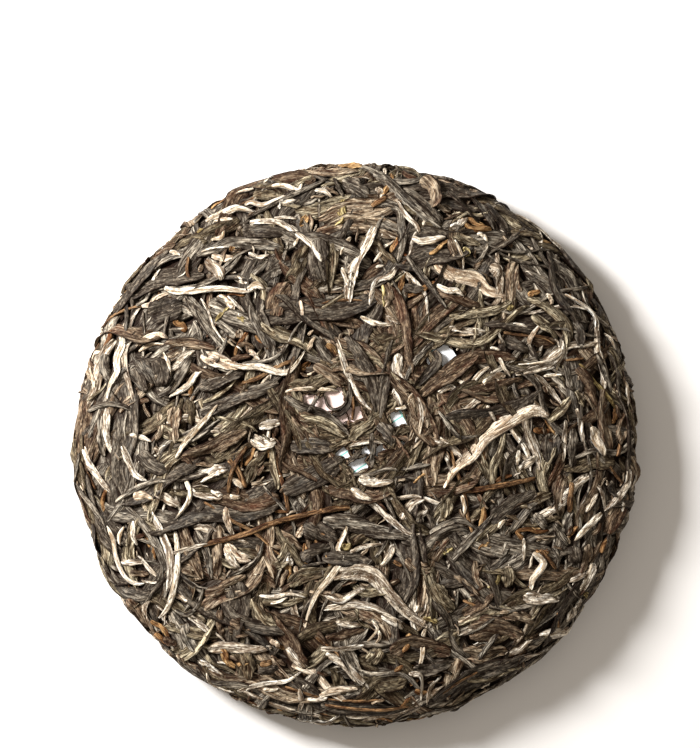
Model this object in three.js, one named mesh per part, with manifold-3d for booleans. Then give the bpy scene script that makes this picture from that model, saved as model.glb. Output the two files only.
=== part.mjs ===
// A round cake of pressed whole-leaf tea, lying on its back with its domed face up,
// and the paper ticket that was pressed in under the top leaves of the face.
// Millimetres, +Z up. The origin is the middle of the flat ring that the cake rests on,
// +X runs to the right of the face and +Y to its top.
import * as THREE from "three";
import { mergeVertices } from "three/addons/utils/BufferGeometryUtils.js";
import Module from "manifold-3d";

const CAKE_DIAMETER = 200;
const CAKE_THICKNESS = 26;
const RIM_LEVEL = 9; // height of the widest line round the cake
const SHOULDER_POWER = 2.8; // 2 is an ellipse, and more is a flatter face with a tighter shoulder
const HEEL_POWER = 2.2; // the same, below the widest line
const BASE_FLAT_DIAMETER = 150;
const DIMPLE_DIAMETER = 58; // the hollow that the knot of the pressing bag leaves in the back
const DIMPLE_DEPTH = 11;
const LEAF_PROUD = 1.6; // how far the leaves stand out of the core
const BASE_PROUD = 0.8; // the same on the back, where the leaves are pressed flat
const LEAF_SINK = 0.5; // how far the widest line of a leaf lies inside the core
// The outline isn't quite round: it dips at the upper left and is fuller at the lower right.
const SWELLS = [
  { lobes: 1, swell: 0.5, turn: 0.82 },
  { lobes: 2, swell: 0.4, turn: -1.5 },
  { lobes: 4, swell: 0.3, turn: 0.14 },
];

const TICKET_WIDTH = 62;
const TICKET_HEIGHT = 44;
const TICKET_THICKNESS = 0.3;
const TICKET_TURN = THREE.MathUtils.degToRad(33);
const TICKET_CENTRE = new THREE.Vector2(8, 12);
const TICKET_DEPTH = 1.4; // its upper side below the core's
const TICKET_GAP = 0.35;
const TICKET_CELL = 6;
const WINDOW_SIDES = 8;

const CORE_SEGMENTS = 44;
const FACE_RINGS = 7;
const HEEL_RINGS = 3;
const DIMPLE_RINGS = 4;
const LEAF_SIDES = 6;
const LEAF_RINGS = 5;
const SLIVER_SIZE = 0.05; // edges that the joining leaves shorter than this are closed up
const MERGE_DISTANCE = 1e-3;

const TEA_COLOUR = 0x5d4f40;
const PAPER_COLOUR = 0xefe6df;

// The large leaves that stand out on the face: width, then points along the middle line.
const FACE_LEAVES = [
  [5.2, [68, 11], [58, 10], [48, 4], [39, -5], [30, -17]], // broad pale blade
  [1.9, [-65, -38], [-55, -35], [-42, -33], [-30, -28], [-18, -25], [1, -22], [16, -19]], // long stem
  [2.3, [-64, -30], [-63, -37], [-64, -48], [-65, -58], [-70, -62]], // upright pale bud
  [2.0, [-88, -28], [-85, -35], [-84, -43], [-80, -48], [-74, -49]], // hooked bud
  [3.2, [-86, 44], [-84, 39], [-84, 29], [-88, 21], [-88, 16]], // pale strip by the rim
  [2.3, [-70, 56], [-62, 54], [-49, 55], [-33, 56]], // pale bud across
  [3.8, [-55, 31], [-46, 29], [-37, 27], [-27, 24], [-21, 31], [-18, 34]],
  [2.4, [-39, 79], [-29, 79], [-21, 75], [-15, 68], [-13, 64]],
  [3.6, [-60, 53], [-53, 44], [-47, 33]],
  [5.0, [-42, 74], [-32, 75], [-22, 74]],
  [6.4, [-37, 48], [-33, 42], [-30, 31]],
  [3.4, [18, 37], [34, 38], [44, 36], [53, 43], [62, 48]],
  [3.4, [63, 48], [71, 42], [73, 35], [70, 29], [55, 25]],
  [4.6, [27, 66], [34, 59], [43, 56], [54, 54]],
  [2.4, [20, 73], [25, 71], [33, 73]],
  [3.6, [6, 76], [0, 63], [-3, 50]],
  [4.4, [5, 40], [8, 31], [8, 20], [6, 6]],
  [5.0, [40, 31], [28, 22], [20, 14]],
  [2.6, [-72, -23], [-68, -30], [-66, -39], [-66, -52]],
  [2.2, [-61, -12], [-59, -20], [-63, -26], [-66, -29]],
  [2.0, [-5, -28], [-7, -39], [-12, -46], [-16, -55], [-18, -67]],
  [4.2, [-49, -55], [-42, -62], [-32, -65], [-21, -68]],
  [4.0, [-57, -54], [-47, -50], [-38, -46]],
  [7.4, [10, -70], [19, -71], [28, -75]],
  [9.5, [37, -64], [48, -65], [60, -68]],
  [4.0, [34, -62], [44, -60], [55, -59], [63, -62]],
  [6.4, [42, -81], [58, -77], [69, -73]],
  [4.2, [-13, -90], [2, -92], [18, -92]],
  [3.6, [62, -38], [66, -43], [62, -50]],
  [3.2, [77, -33], [87, -26], [94, -19]],
  [4.0, [83, 4], [84, -1], [87, -6]],
  [5.0, [57, -54], [65, -55], [73, -57]],
  [2.2, [36, -17], [48, -14], [64, -11]],
  [2.8, [-3, -15], [7, -22], [15, -30], [25, -31], [34, -28], [44, -26]],
  [3.2, [22, -38], [30, -33], [43, -27]],
  [1.8, [-8, 95], [-20, 89], [-32, 83], [-41, 79]],
  [2.6, [-39, 86], [-32, 86], [-22, 91]],
  [3.2, [-3, 87], [-5, 81], [-7, 77]],
  [4.6, [-20, 22], [-34, 15], [-46, 10], [-58, 8]],
  [5.4, [-44, -6], [-30, -9], [-15, -12], [-6, -14]],
  [5.0, [-20, 6], [-8, 3], [2, 0], [12, 2]],
];

// Gaps between the leaves through which the ticket shows: middle and radius.
const TICKET_WINDOWS = [
  { x: 31, y: 31.5, radius: 3.4 },
  { x: 14.5, y: 9, radius: 2.4 },
  { x: -14, y: 13.5, radius: 4 },
  { x: -6, y: 11.5, radius: 4 },
  { x: 0, y: -6.5, radius: 3.6 },
];

const SPREAD_SEED = 357;
const FACE_SPREAD = { count: 31, inner: 10, outer: 93 };
const RIM_SPREAD = { count: 24, lowest: 2.5, highest: 15 };
const BASE_SPREAD = { count: 27, inner: 20, outer: 92 };
const GOLDEN_ANGLE = Math.PI * (3 - Math.sqrt(5));

const wasm = await Module();
wasm.setup();

/** A repeatable source of numbers from 0 to 1. */
function seededDraw(seed) {
  let state = seed;
  return () => {
    state = (state + 0x6d2b79f5) | 0;
    let mixed = Math.imul(state ^ (state >>> 15), 1 | state);
    mixed = (mixed + Math.imul(mixed ^ (mixed >>> 7), 61 | mixed)) ^ mixed;
    return ((mixed ^ (mixed >>> 14)) >>> 0) / 4294967296;
  };
}

const draw = seededDraw(SPREAD_SEED);
const between = (low, high) => low + (high - low) * draw();

/** How far the cake's outline swells at an angle round it. */
function swellAt(angle) {
  return SWELLS.reduce((sum, { lobes, swell, turn }) => sum + swell * Math.cos(lobes * angle + turn), 0);
}

/** The core's outline as radius and height, from the middle of the face round the rim to the middle of the back. */
function coreOutline() {
  const rim = CAKE_DIAMETER / 2 - LEAF_PROUD;
  const faceRise = CAKE_THICKNESS - LEAF_PROUD - RIM_LEVEL;
  const baseDrop = RIM_LEVEL - BASE_PROUD;
  const flat = BASE_FLAT_DIAMETER / 2;
  const hollow = DIMPLE_DIAMETER / 2;
  const points = [];
  for (let i = 0; i <= FACE_RINGS; i++) {
    const turn = ((i / FACE_RINGS) * Math.PI) / 2;
    const out = Math.sin(turn) ** (2 / SHOULDER_POWER);
    const up = Math.cos(turn) ** (2 / SHOULDER_POWER);
    points.push(new THREE.Vector2(rim * out, RIM_LEVEL + faceRise * (i === FACE_RINGS ? 0 : up)));
  }
  for (let i = HEEL_RINGS - 1; i >= 0; i--) {
    const turn = ((i / HEEL_RINGS) * Math.PI) / 2;
    const out = Math.sin(turn) ** (2 / HEEL_POWER);
    const down = Math.cos(turn) ** (2 / HEEL_POWER);
    points.push(new THREE.Vector2(flat + (rim - flat) * out, RIM_LEVEL - baseDrop * down));
  }
  for (let i = DIMPLE_RINGS; i >= 0; i--) {
    const out = i / DIMPLE_RINGS;
    points.push(new THREE.Vector2(hollow * out, BASE_PROUD + (DIMPLE_DEPTH * (1 + Math.cos(Math.PI * out))) / 2));
  }
  points[0].x = 0;
  return points;
}

/** The way the core's surface faces at each point of its outline, as out and up. */
function outlineFacings(points) {
  return points.map((point, i) => {
    const along = points[Math.min(i + 1, points.length - 1)].clone().sub(points[Math.max(i - 1, 0)]);
    return new THREE.Vector2(-along.y, along.x).normalize();
  });
}

const outline = coreOutline();
const facings = outlineFacings(outline);

/** The core's height on the face at a distance from the axis. */
function faceHeight(radius) {
  for (let i = 0; i < FACE_RINGS; i++) {
    const [near, far] = [outline[i], outline[i + 1]];
    if (radius <= far.x) return THREE.MathUtils.mapLinear(radius, near.x, far.x, near.y, far.y);
  }
  return RIM_LEVEL;
}

/** The nearest point of the core's surface, and the way that the surface faces there. */
function nearestOnCore(point) {
  const angle = Math.atan2(point.y, point.x);
  const swell = swellAt(angle);
  const at = new THREE.Vector2(Math.hypot(point.x, point.y), point.z);
  let best = { gap: Infinity };
  for (let i = 0; i + 1 < outline.length; i++) {
    const [from, to] = [outline[i], outline[i + 1]];
    const along = to.clone().sub(from);
    const share = THREE.MathUtils.clamp(at.clone().sub(from).dot(along) / along.lengthSq(), 0, 1);
    const foot = from.clone().addScaledVector(along, share);
    const gap = foot.distanceTo(at);
    if (gap < best.gap) best = { gap, foot, facing: facings[i].clone().lerp(facings[i + 1], share).normalize() };
  }
  const reach = best.foot.x + (swell * best.foot.x) / outline[FACE_RINGS].x;
  const [c, s] = [Math.cos(angle), Math.sin(angle)];
  return {
    point: new THREE.Vector3(reach * c, reach * s, best.foot.y),
    normal: new THREE.Vector3(best.facing.x * c, best.facing.x * s, best.facing.y),
  };
}

/** The faces of a geometry as one closed solid. */
function solidOf(geometry) {
  const bare = geometry.clone();
  bare.deleteAttribute("normal");
  bare.deleteAttribute("uv");
  const merged = mergeVertices(bare, MERGE_DISTANCE);
  return new wasm.Manifold(
    new wasm.Mesh({
      numProp: 3,
      vertProperties: merged.getAttribute("position").array,
      triVerts: new Uint32Array(merged.index.array),
    }),
  );
}

/** A solid as a geometry for a mesh. */
function geometryOf(solid) {
  const mesh = solid.getMesh();
  const geometry = new THREE.BufferGeometry();
  geometry.setAttribute("position", new THREE.BufferAttribute(new Float32Array(mesh.vertProperties), 3));
  geometry.setIndex(new THREE.BufferAttribute(new Uint32Array(mesh.triVerts), 1));
  geometry.computeVertexNormals();
  return geometry;
}

/** Moves every vertex of a geometry by a rule from its place to a new one. */
function reshaped(geometry, rule) {
  const position = geometry.getAttribute("position");
  const at = new THREE.Vector3();
  for (let i = 0; i < position.count; i++) {
    at.fromBufferAttribute(position, i);
    position.setXYZ(i, ...rule(at).toArray());
  }
  return geometry;
}

/** The solid core, turned round the axis and swollen a little unevenly. */
function coreSolid() {
  const profile = [...outline].reverse().map(({ x, y }) => new THREE.Vector2(x, y));
  const turned = new THREE.LatheGeometry(profile, CORE_SEGMENTS).rotateX(Math.PI / 2);
  const rim = outline[FACE_RINGS].x;
  return solidOf(
    reshaped(turned, (at) => {
      const radius = Math.hypot(at.x, at.y);
      const grown = 1 + swellAt(Math.atan2(at.y, at.x)) / rim;
      return radius < 1e-6 ? at : at.set(at.x * grown, at.y * grown, at.z);
    }),
  );
}

/** One leaf: a flattened spindle laid along a line of surface points, wavy in width and height. */
function leafSolid(stations, width, proud) {
  const line = new THREE.CatmullRomCurve3(stations.map(({ point }) => point));
  const phase = between(0, 2 * Math.PI);
  const spindle = new THREE.SphereGeometry(1, LEAF_SIDES, LEAF_RINGS);
  return solidOf(
    reshaped(spindle, (at) => {
      const share = (at.y + 1) / 2;
      const middle = line.getPointAt(THREE.MathUtils.clamp(share, 0, 1));
      const ahead = line.getTangentAt(THREE.MathUtils.clamp(share, 0.001, 0.999));
      const { normal } = nearestOnCore(middle);
      const aside = new THREE.Vector3().crossVectors(ahead, normal).normalize();
      const wave = Math.sin(phase + share * 7);
      const sideways = at.x * (width / 2) * (1 + 0.12 * wave);
      const upwards = at.z * (proud + LEAF_SINK) * (1 - 0.12 * wave) - LEAF_SINK;
      return middle.clone().addScaledVector(aside, sideways).addScaledVector(normal, upwards);
    }),
  );
}

/** Surface points under a hand-placed leaf of the face. */
function faceStations(path) {
  return path.map(([x, y]) => nearestOnCore(new THREE.Vector3(x, y, faceHeight(Math.hypot(x, y)))));
}

/** Surface points from a start, in steps along a heading that bends a little. */
function walkedStations(start, heading, length, bend) {
  const steps = 4;
  const stations = [nearestOnCore(start)];
  const direction = heading.clone();
  for (let i = 0; i < steps; i++) {
    const { point, normal } = stations.at(-1);
    direction.projectOnPlane(normal).normalize().applyAxisAngle(normal, bend / steps);
    stations.push(nearestOnCore(point.clone().addScaledVector(direction, length / steps)));
  }
  return stations;
}

/** A leaf of drawn size, bend and heading that starts at a point of the surface. */
function drawnLeaf(start, proud) {
  const heading = new THREE.Vector3(between(-1, 1), between(-1, 1), between(-0.15, 0.15));
  const stations = walkedStations(start, heading, between(24, 46), between(-0.8, 0.8));
  return { stations, solid: leafSolid(stations, between(4, 8), proud * between(0.75, 1)) };
}

/** Whether a leaf would cover one of the gaps over the ticket. */
function coversWindow(stations) {
  const line = new THREE.CatmullRomCurve3(stations.map(({ point }) => point)).getPoints(12);
  return line.some(({ x, y, z }) =>
    TICKET_WINDOWS.some((gap) => z > RIM_LEVEL && Math.hypot(x - gap.x, y - gap.y) < gap.radius + 3),
  );
}

function placedLeaves() {
  return FACE_LEAVES.map(([width, ...path]) => leafSolid(faceStations(path), width, LEAF_PROUD * between(0.8, 1.1)));
}

/** Leaves spread evenly over the face by a spiral. */
function faceSpread() {
  const { count, inner, outer } = FACE_SPREAD;
  const leaves = [];
  for (let i = 0; i < count; i++) {
    const radius = inner + (outer - inner) * Math.sqrt((i + 0.5) / count);
    const angle = i * GOLDEN_ANGLE;
    const start = new THREE.Vector3(radius * Math.cos(angle), radius * Math.sin(angle), faceHeight(radius));
    const leaf = drawnLeaf(start, LEAF_PROUD);
    if (!coversWindow(leaf.stations)) leaves.push(leaf.solid);
  }
  return leaves;
}

/** Leaves that lie round the rim. */
function rimSpread() {
  const { count, lowest, highest } = RIM_SPREAD;
  const leaves = [];
  for (let i = 0; i < count; i++) {
    const angle = (2 * Math.PI * i) / count;
    const start = new THREE.Vector3(Math.cos(angle), Math.sin(angle), 0).multiplyScalar(CAKE_DIAMETER / 2);
    start.z = THREE.MathUtils.lerp(lowest, highest, (i * 0.382) % 1);
    const heading = new THREE.Vector3(-Math.sin(angle), Math.cos(angle), between(-0.5, 0.5));
    const stations = walkedStations(start, heading, between(24, 36), 0);
    leaves.push(leafSolid(stations, between(3.6, 6), LEAF_PROUD * between(0.75, 1)));
  }
  return leaves;
}

/** Leaves spread over the back and its hollow, later pressed flat where the cake rests. */
function baseSpread() {
  const { count, inner, outer } = BASE_SPREAD;
  const leaves = [];
  for (let i = 0; i < count; i++) {
    const radius = inner + (outer - inner) * Math.sqrt((i + 0.5) / count);
    const angle = i * GOLDEN_ANGLE;
    const start = new THREE.Vector3(radius * Math.cos(angle), radius * Math.sin(angle), 0);
    leaves.push(drawnLeaf(start, LEAF_PROUD).solid);
  }
  return leaves;
}

/** Lays a flat geometry on the face, its lower and upper side at two levels from the core's surface. */
function laidOnFace(geometry, low, high) {
  return reshaped(geometry, (at) => at.setZ(faceHeight(Math.hypot(at.x, at.y)) + (at.z < 0 ? low : high)));
}

/** A sheet of the ticket's place and turn, between two levels measured from the core's surface. */
function faceSheet(width, height, low, high) {
  const across = Math.round(TICKET_WIDTH / TICKET_CELL);
  const down = Math.round(TICKET_HEIGHT / TICKET_CELL);
  const sheet = new THREE.BoxGeometry(width, height, 1, across, down, 1);
  return laidOnFace(sheet.rotateZ(TICKET_TURN).translate(TICKET_CENTRE.x, TICKET_CENTRE.y, 0), low, high);
}

/** The pocket round the ticket. */
function pocketSolid() {
  const floor = -TICKET_DEPTH - TICKET_THICKNESS - TICKET_GAP;
  const roof = -TICKET_DEPTH + TICKET_GAP;
  return solidOf(faceSheet(TICKET_WIDTH + 2 * TICKET_GAP, TICKET_HEIGHT + 2 * TICKET_GAP, floor, roof));
}

/** The gaps between the leaves, down to the ticket. */
function windowSolids() {
  return TICKET_WINDOWS.map(({ x, y, radius }) => {
    const shaft = new THREE.CylinderGeometry(radius, radius, 1, WINDOW_SIDES).rotateX(Math.PI / 2);
    return solidOf(laidOnFace(shaft.translate(x, y, 0), -TICKET_DEPTH + TICKET_GAP / 2, 2 * LEAF_PROUD));
  });
}

/** A block below the level that the cake rests on. */
function floorSolid() {
  const side = CAKE_DIAMETER * 1.2;
  const depth = 10;
  return solidOf(new THREE.BoxGeometry(side, side, depth).translate(0, 0, -depth / 2));
}

/** The main body of a solid: loose scraps are dropped, and hollows that the joining sealed are filled. */
function mainBody(solid) {
  const largest = solid.decompose().reduce((most, body) => (body.volume() > most.volume() ? body : most));
  const rebuilt = solidOf(geometryOf(largest.simplify(SLIVER_SIZE)));
  return rebuilt.decompose().length > 1 ? mainBody(rebuilt) : rebuilt;
}

/** The pressed tea: core and leaves in one, with the pocket taken out and the back pressed flat. */
function teaCake() {
  const leaves = [...placedLeaves(), ...faceSpread(), ...rimSpread(), ...baseSpread()];
  const joined = wasm.Manifold.union([coreSolid(), ...leaves]);
  const removed = wasm.Manifold.union([pocketSolid(), floorSolid(), ...windowSolids()]);
  const whole = mainBody(joined.subtract(removed));
  const material = new THREE.MeshStandardMaterial({ color: TEA_COLOUR, roughness: 0.8, metalness: 0 });
  const mesh = new THREE.Mesh(geometryOf(whole), material);
  mesh.name = "tea_cake";
  return mesh;
}

/** The ticket of thin paper. */
function ticket() {
  const material = new THREE.MeshStandardMaterial({ color: PAPER_COLOUR, roughness: 0.9, metalness: 0 });
  const sheet = faceSheet(TICKET_WIDTH, TICKET_HEIGHT, -TICKET_DEPTH - TICKET_THICKNESS, -TICKET_DEPTH);
  const mesh = new THREE.Mesh(sheet, material);
  mesh.name = "ticket";
  return mesh;
}

const cake = new THREE.Group();
cake.add(teaCake(), ticket());

export default cake;
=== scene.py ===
"""A round cake of pressed whole-leaf tea, lying on its back with its domed face up.

Leaves, buds and stems are laid one over another on a core of matted tea, and a paper
ticket lies under the top ones. The classes below hold the sizes, in millimetres, and
build one mesh for each kind of leaf. The look of each kind is a finish of its own.
"""

import logging
import math
from dataclasses import dataclass, field
from enum import Enum

import bpy
import numpy as np
from mathutils import Matrix, Vector


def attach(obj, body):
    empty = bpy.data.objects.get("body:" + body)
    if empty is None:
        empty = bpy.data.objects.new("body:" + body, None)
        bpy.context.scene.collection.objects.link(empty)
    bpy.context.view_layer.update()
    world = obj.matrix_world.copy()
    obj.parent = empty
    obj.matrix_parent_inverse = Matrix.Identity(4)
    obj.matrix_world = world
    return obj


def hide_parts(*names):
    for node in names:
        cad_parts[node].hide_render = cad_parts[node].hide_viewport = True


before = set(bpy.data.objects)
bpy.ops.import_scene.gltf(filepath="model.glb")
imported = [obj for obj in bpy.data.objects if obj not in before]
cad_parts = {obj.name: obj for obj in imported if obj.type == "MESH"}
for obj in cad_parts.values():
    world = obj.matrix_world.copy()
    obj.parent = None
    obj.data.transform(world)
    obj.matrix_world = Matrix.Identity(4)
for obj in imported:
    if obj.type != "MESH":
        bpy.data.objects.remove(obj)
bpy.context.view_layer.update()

LOG = logging.getLogger("tea_cake")
MM = 0.001
IMAGE_WIDTH, IMAGE_HEIGHT = 700, 748
PHOTO_SCALE = 0.3515  # millimetres to a pixel of the photo
CAKE_CENTRE_PX = (357.5, 442.5)  # the cake's middle in the photo, in pixels
FACE_SCALE = 0.987  # the face stands nearer to the camera than the rim, so the photo shows it larger
FACE_SHIFT = (1.3, 0.8)  # and shifted, since the camera stands aside
PRESSED = 1.98  # how far above the mould's surface the press lets anything stand, in millimetres
RIM_FREE = 1.4  # how much further they may stand out at the rim
EDGE_SHADE_START = 0.76  # how far out across a leaf the painted shade along its edge starts
EDGE_SHADE = 0.8  # how dark the painted shade on its edges and tips gets, as if they lay that deep among their neighbours
BED_SHARES = np.array([-0.4, -0.2, 0.0, 0.2, 0.4])  # where across its width a leaf rests on the bed
STIFFNESS = np.array([0.1, 0.22, 0.36, 0.22, 0.1])  # how its height is evened out along it
SAG = 0.35  # how far a leaf may lie below the highest point that holds it nearby, in millimetres
SOFTNESS = 0.35  # how gently the press holds a leaf down, in millimetres
SEED = 357

Colour = tuple[float, float, float]
Place = tuple[float, float, float]
Span = tuple[float, float]
Socket = bpy.types.NodeSocket


class Side(Enum):
    """The two sides of the cake that leaves are laid on."""

    FACE = "face"
    BACK = "back"


def linear(red: int, green: int, blue: int) -> Colour:
    """Turns a colour as seen on a screen into the values that a shader takes.

    Args:
        red: From 0 to 255.
        green: From 0 to 255.
        blue: From 0 to 255.

    Returns:
        The three linear values.
    """

    def one(value: int) -> float:
        """One channel."""
        share = value / 255
        return share / 12.92 if share <= 0.04045 else ((share + 0.055) / 1.055) ** 2.4

    return one(red), one(green), one(blue)


def smooth_step(low: float, high: float, value: np.ndarray) -> np.ndarray:
    """Rises smoothly from 0 at low to 1 at high."""
    share = np.clip((value - low) / (high - low), 0, 1)
    return share * share * (3 - 2 * share)


@dataclass
class Mould:
    """The smooth pressed shape that the leaves lie on, turned round the axis and not quite round."""

    diameter: float = 200.0
    thickness: float = 26.0
    rim_level: float = 9.0
    shoulder_power: float = 2.8
    heel_power: float = 2.2
    base_flat: float = 150.0
    hollow_diameter: float = 58.0
    hollow_depth: float = 11.0
    leaf_proud: float = 1.6
    base_proud: float = 0.8
    swells: tuple[tuple[int, float, float], ...] = ((1, 0.5, 0.82), (2, 0.4, -1.5), (4, 0.3, 0.14))
    samples: int = 1000

    def __post_init__(self) -> None:
        """Works out the outline from the middle of the face, round the rim, to the middle of the back."""
        rim = self.diameter / 2 - self.leaf_proud
        rise = self.thickness - self.leaf_proud - self.rim_level
        drop = self.rim_level - self.base_proud
        flat, hollow = self.base_flat / 2, self.hollow_diameter / 2
        turn = np.linspace(0, math.pi / 2, 500)
        out, up = np.sin(turn) ** (2 / self.shoulder_power), np.cos(turn) ** (2 / self.shoulder_power)
        face = np.column_stack([rim * out, self.rim_level + rise * up])
        out, down = np.sin(turn) ** (2 / self.heel_power), np.cos(turn) ** (2 / self.heel_power)
        heel = np.column_stack([flat + (rim - flat) * out, self.rim_level - drop * down])[::-1][1:]
        share = np.linspace(1, 0, 200)
        sunk = self.base_proud + self.hollow_depth * (1 + np.cos(math.pi * share)) / 2
        points = np.vstack([face, heel, np.column_stack([hollow * share, sunk])])
        length = np.concatenate([[0], np.cumsum(np.hypot(*np.diff(points, axis=0).T))])
        self.reach = np.linspace(0, length[-1], self.samples)
        self.outline = np.column_stack([np.interp(self.reach, length, points[:, i]) for i in (0, 1)])
        step = np.gradient(self.outline, axis=0)
        facing = np.column_stack([-step[:, 1], step[:, 0]])
        near = 12  # samples on each side that the facing is averaged over
        window = np.ones(2 * near + 1) / (2 * near + 1)
        upward, downward = np.tile([0.0, 1.0], (near, 1)), np.tile([0.0, -1.0], (near, 1))
        padded = np.vstack([upward, facing, downward])
        padded /= np.linalg.norm(padded, axis=1, keepdims=True)
        soft = np.column_stack([np.convolve(padded[:, i], window, "valid") for i in (0, 1)])
        self.facing = soft / np.linalg.norm(soft, axis=1, keepdims=True)
        self.rim = rim
        self.rim_reach = float(self.reach[np.argmax(self.outline[:, 0])])

    def swell_at(self, angle: np.ndarray) -> np.ndarray:
        """How far the rim stands out at an angle round the axis."""
        return sum(swell * np.cos(lobes * angle + turn) for lobes, swell, turn in self.swells)

    def reach_at(self, radius: float) -> float:
        """The way along the face from its middle to a radius."""
        top = int(np.argmax(self.outline[:, 0]))
        return float(np.interp(radius, self.outline[: top + 1, 0], self.reach[: top + 1]))

    def place(self, spots: np.ndarray, lifts: np.ndarray, side: Side) -> np.ndarray:
        """Turns spots on a side's flat map into places on the cake.

        Args:
            spots: Map places, whose last axis holds across and up, measured along the surface.
            lifts: Heights above the surface.
            side: The side of the cake whose middle is the map's middle.

        Returns:
            Places as x, y and z.
        """
        way = np.hypot(spots[..., 0], spots[..., 1])
        angle = np.arctan2(spots[..., 1], spots[..., 0])
        if side is Side.BACK:
            way, angle = self.reach[-1] - way, -angle
        radius = np.interp(way, self.reach, self.outline[:, 0])
        radius = radius * (1 + self.swell_at(angle) / self.rim)
        radius = radius + lifts * np.interp(way, self.reach, self.facing[:, 0])
        height = np.interp(way, self.reach, self.outline[:, 1])
        height = height + lifts * np.interp(way, self.reach, self.facing[:, 1])
        height = np.maximum(height, 0)  # what reaches the table is pressed flat
        return np.stack([radius * np.cos(angle), radius * np.sin(angle), height], axis=-1)


@dataclass
class LeafBed:
    """The height of what has been laid so far, on a grid over one side's map."""

    span: float
    floor: float = -2.6
    cell: float = 0.5
    stride: float = 0.4  # between the points of a leaf that raise it, so shorter than a cell
    crown: float = 0.5  # how much lower a leaf's edges are than its middle
    reach: int = 6  # how many cells away count as neighbours
    fall: float = 18.0  # how slowly the neighbours' weight falls off with distance
    sunk_start: float = 0.12  # how far above its neighbours a point starts to count as sunk
    sunk_range: float = 1.45  # and how much lower it is fully sunk

    def __post_init__(self) -> None:
        """Starts with a level floor."""
        self.count = int(2 * self.span / self.cell) + 1
        self.level = np.full((self.count, self.count), self.floor)
        self.around: np.ndarray | None = None

    def cells(self, spots: np.ndarray) -> tuple[np.ndarray, np.ndarray]:
        """The grid cells that hold some spots."""
        index = np.clip(((spots + self.span) / self.cell + 0.5).astype(int), 0, self.count - 1)
        return index[..., 0], index[..., 1]

    def read(self, spots: np.ndarray) -> np.ndarray:
        """The height at some spots."""
        return self.level[self.cells(spots)]

    def sunk(self, spots: np.ndarray, levels: np.ndarray) -> np.ndarray:
        """How deep some points lie among their neighbours, from 0 to 1, which the leaves' material paints as
        shade.

        Args:
            spots: Where they are on the map.
            levels: Their heights.

        Returns:
            The depth of each.
        """
        if self.around is None:
            away = np.arange(-self.reach, self.reach + 1)
            share = np.exp(-(away**2) / self.fall)
            share /= share.sum()
            around = np.pad(self.level, self.reach, mode="edge")
            around = np.apply_along_axis(np.convolve, 0, around, share, "valid")
            self.around = np.apply_along_axis(np.convolve, 1, around, share, "valid")
        over = self.around[self.cells(spots)]
        return np.clip((over + self.sunk_start - levels) / self.sunk_range, 0, 1)

    def support(self, path: np.ndarray, widths: np.ndarray) -> np.ndarray:
        """How high the bed holds a leaf at each point of its middle line.

        Args:
            path: Points of the middle line.
            widths: The leaf's width at each.

        Returns:
            The height at each.
        """
        spots = path[:, None] + across_of(path)[:, None] * widths[:, None, None] * BED_SHARES[None, :, None]
        held = self.read(spots)
        return 0.6 * held.max(axis=1) + 0.4 * held.mean(axis=1)

    def cover(self, path: np.ndarray, widths: np.ndarray, tops: np.ndarray) -> None:
        """Raises the bed where a leaf lies.

        Args:
            path: Points of the leaf's middle line.
            widths: Its width at each.
            tops: The height of its upper side at each.
        """
        length = np.hypot(*np.diff(path, axis=0).T).sum()
        share = np.linspace(0, len(path) - 1, max(int(length / self.stride), 4))
        knots = np.arange(len(path))
        middle = np.column_stack([np.interp(share, knots, path[:, i]) for i in (0, 1)])
        width, top = np.interp(share, knots, widths), np.interp(share, knots, tops)
        aside = np.linspace(-0.5, 0.5, max(int(widths.max() / self.stride), 3))
        spots = middle[:, None] + across_of(middle)[:, None] * (width[:, None] * aside)[..., None]
        height = top[:, None] - self.crown * (2 * aside[None, :]) ** 2
        np.maximum.at(self.level, self.cells(spots), height)


def as_on_face(spots: np.ndarray) -> np.ndarray:
    """Moves spots measured in the photo at the rim's level to where they are on the face."""
    return spots * FACE_SCALE - np.array(FACE_SHIFT)


def rotated(spots: np.ndarray, angle: float) -> np.ndarray:
    """Turns spots round the middle of the map."""
    c, s = math.cos(angle), math.sin(angle)
    across, up = spots[..., 0], spots[..., 1]
    return np.stack([across * c - up * s, across * s + up * c], axis=-1)


def across_of(path: np.ndarray) -> np.ndarray:
    """The sideways direction at each point of one line or of several."""
    ahead = np.gradient(path, axis=-2)
    ahead = ahead / np.maximum(np.linalg.norm(ahead, axis=-1, keepdims=True), 1e-9)
    return np.stack([-ahead[..., 1], ahead[..., 0]], axis=-1)


def curve_through(points: np.ndarray, shares: np.ndarray) -> np.ndarray:
    """A smooth line through some points.

    Args:
        points: The points, at least two.
        shares: How far along the line to read it, from 0 to 1.

    Returns:
        A place for each share.
    """
    ends = np.vstack([2 * points[0] - points[1], points, 2 * points[-1] - points[-2]])
    at = np.clip(shares * (len(points) - 1), 0, len(points) - 1.0001)
    index = at.astype(int)
    part = (at - index)[:, None]
    a, b, c, d = (ends[index + i] for i in range(4))
    return 0.5 * (
        2 * b + (c - a) * part + (2 * a - 5 * b + 4 * c - d) * part**2 + (3 * b - a - 3 * c + d) * part**3
    )


@dataclass(frozen=True)
class LeafFinish:
    """The colours and surface of one kind of leaf."""

    name: str
    # deep is its darkest tone, also painted into the low parts of its folds and creases as shade
    deep: Colour
    body: Colour
    # pale is also painted on its crests and raised folds as highlight
    pale: Colour
    line: Colour
    line_share: float = 0.8  # how strong its pale lengthwise lines are
    crease_share: float = 0.7  # how strong its dark creases are, partly its own colour and partly painted shade
    blush: Colour = linear(84, 52, 30)
    blush_share: float = 0.15
    roughness: float = 0.68
    sheen: float = 0.0
    shine: float = 0.09
    fibre: float = 1.8  # fine lines to a millimetre
    relief: float = 1.0


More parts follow.
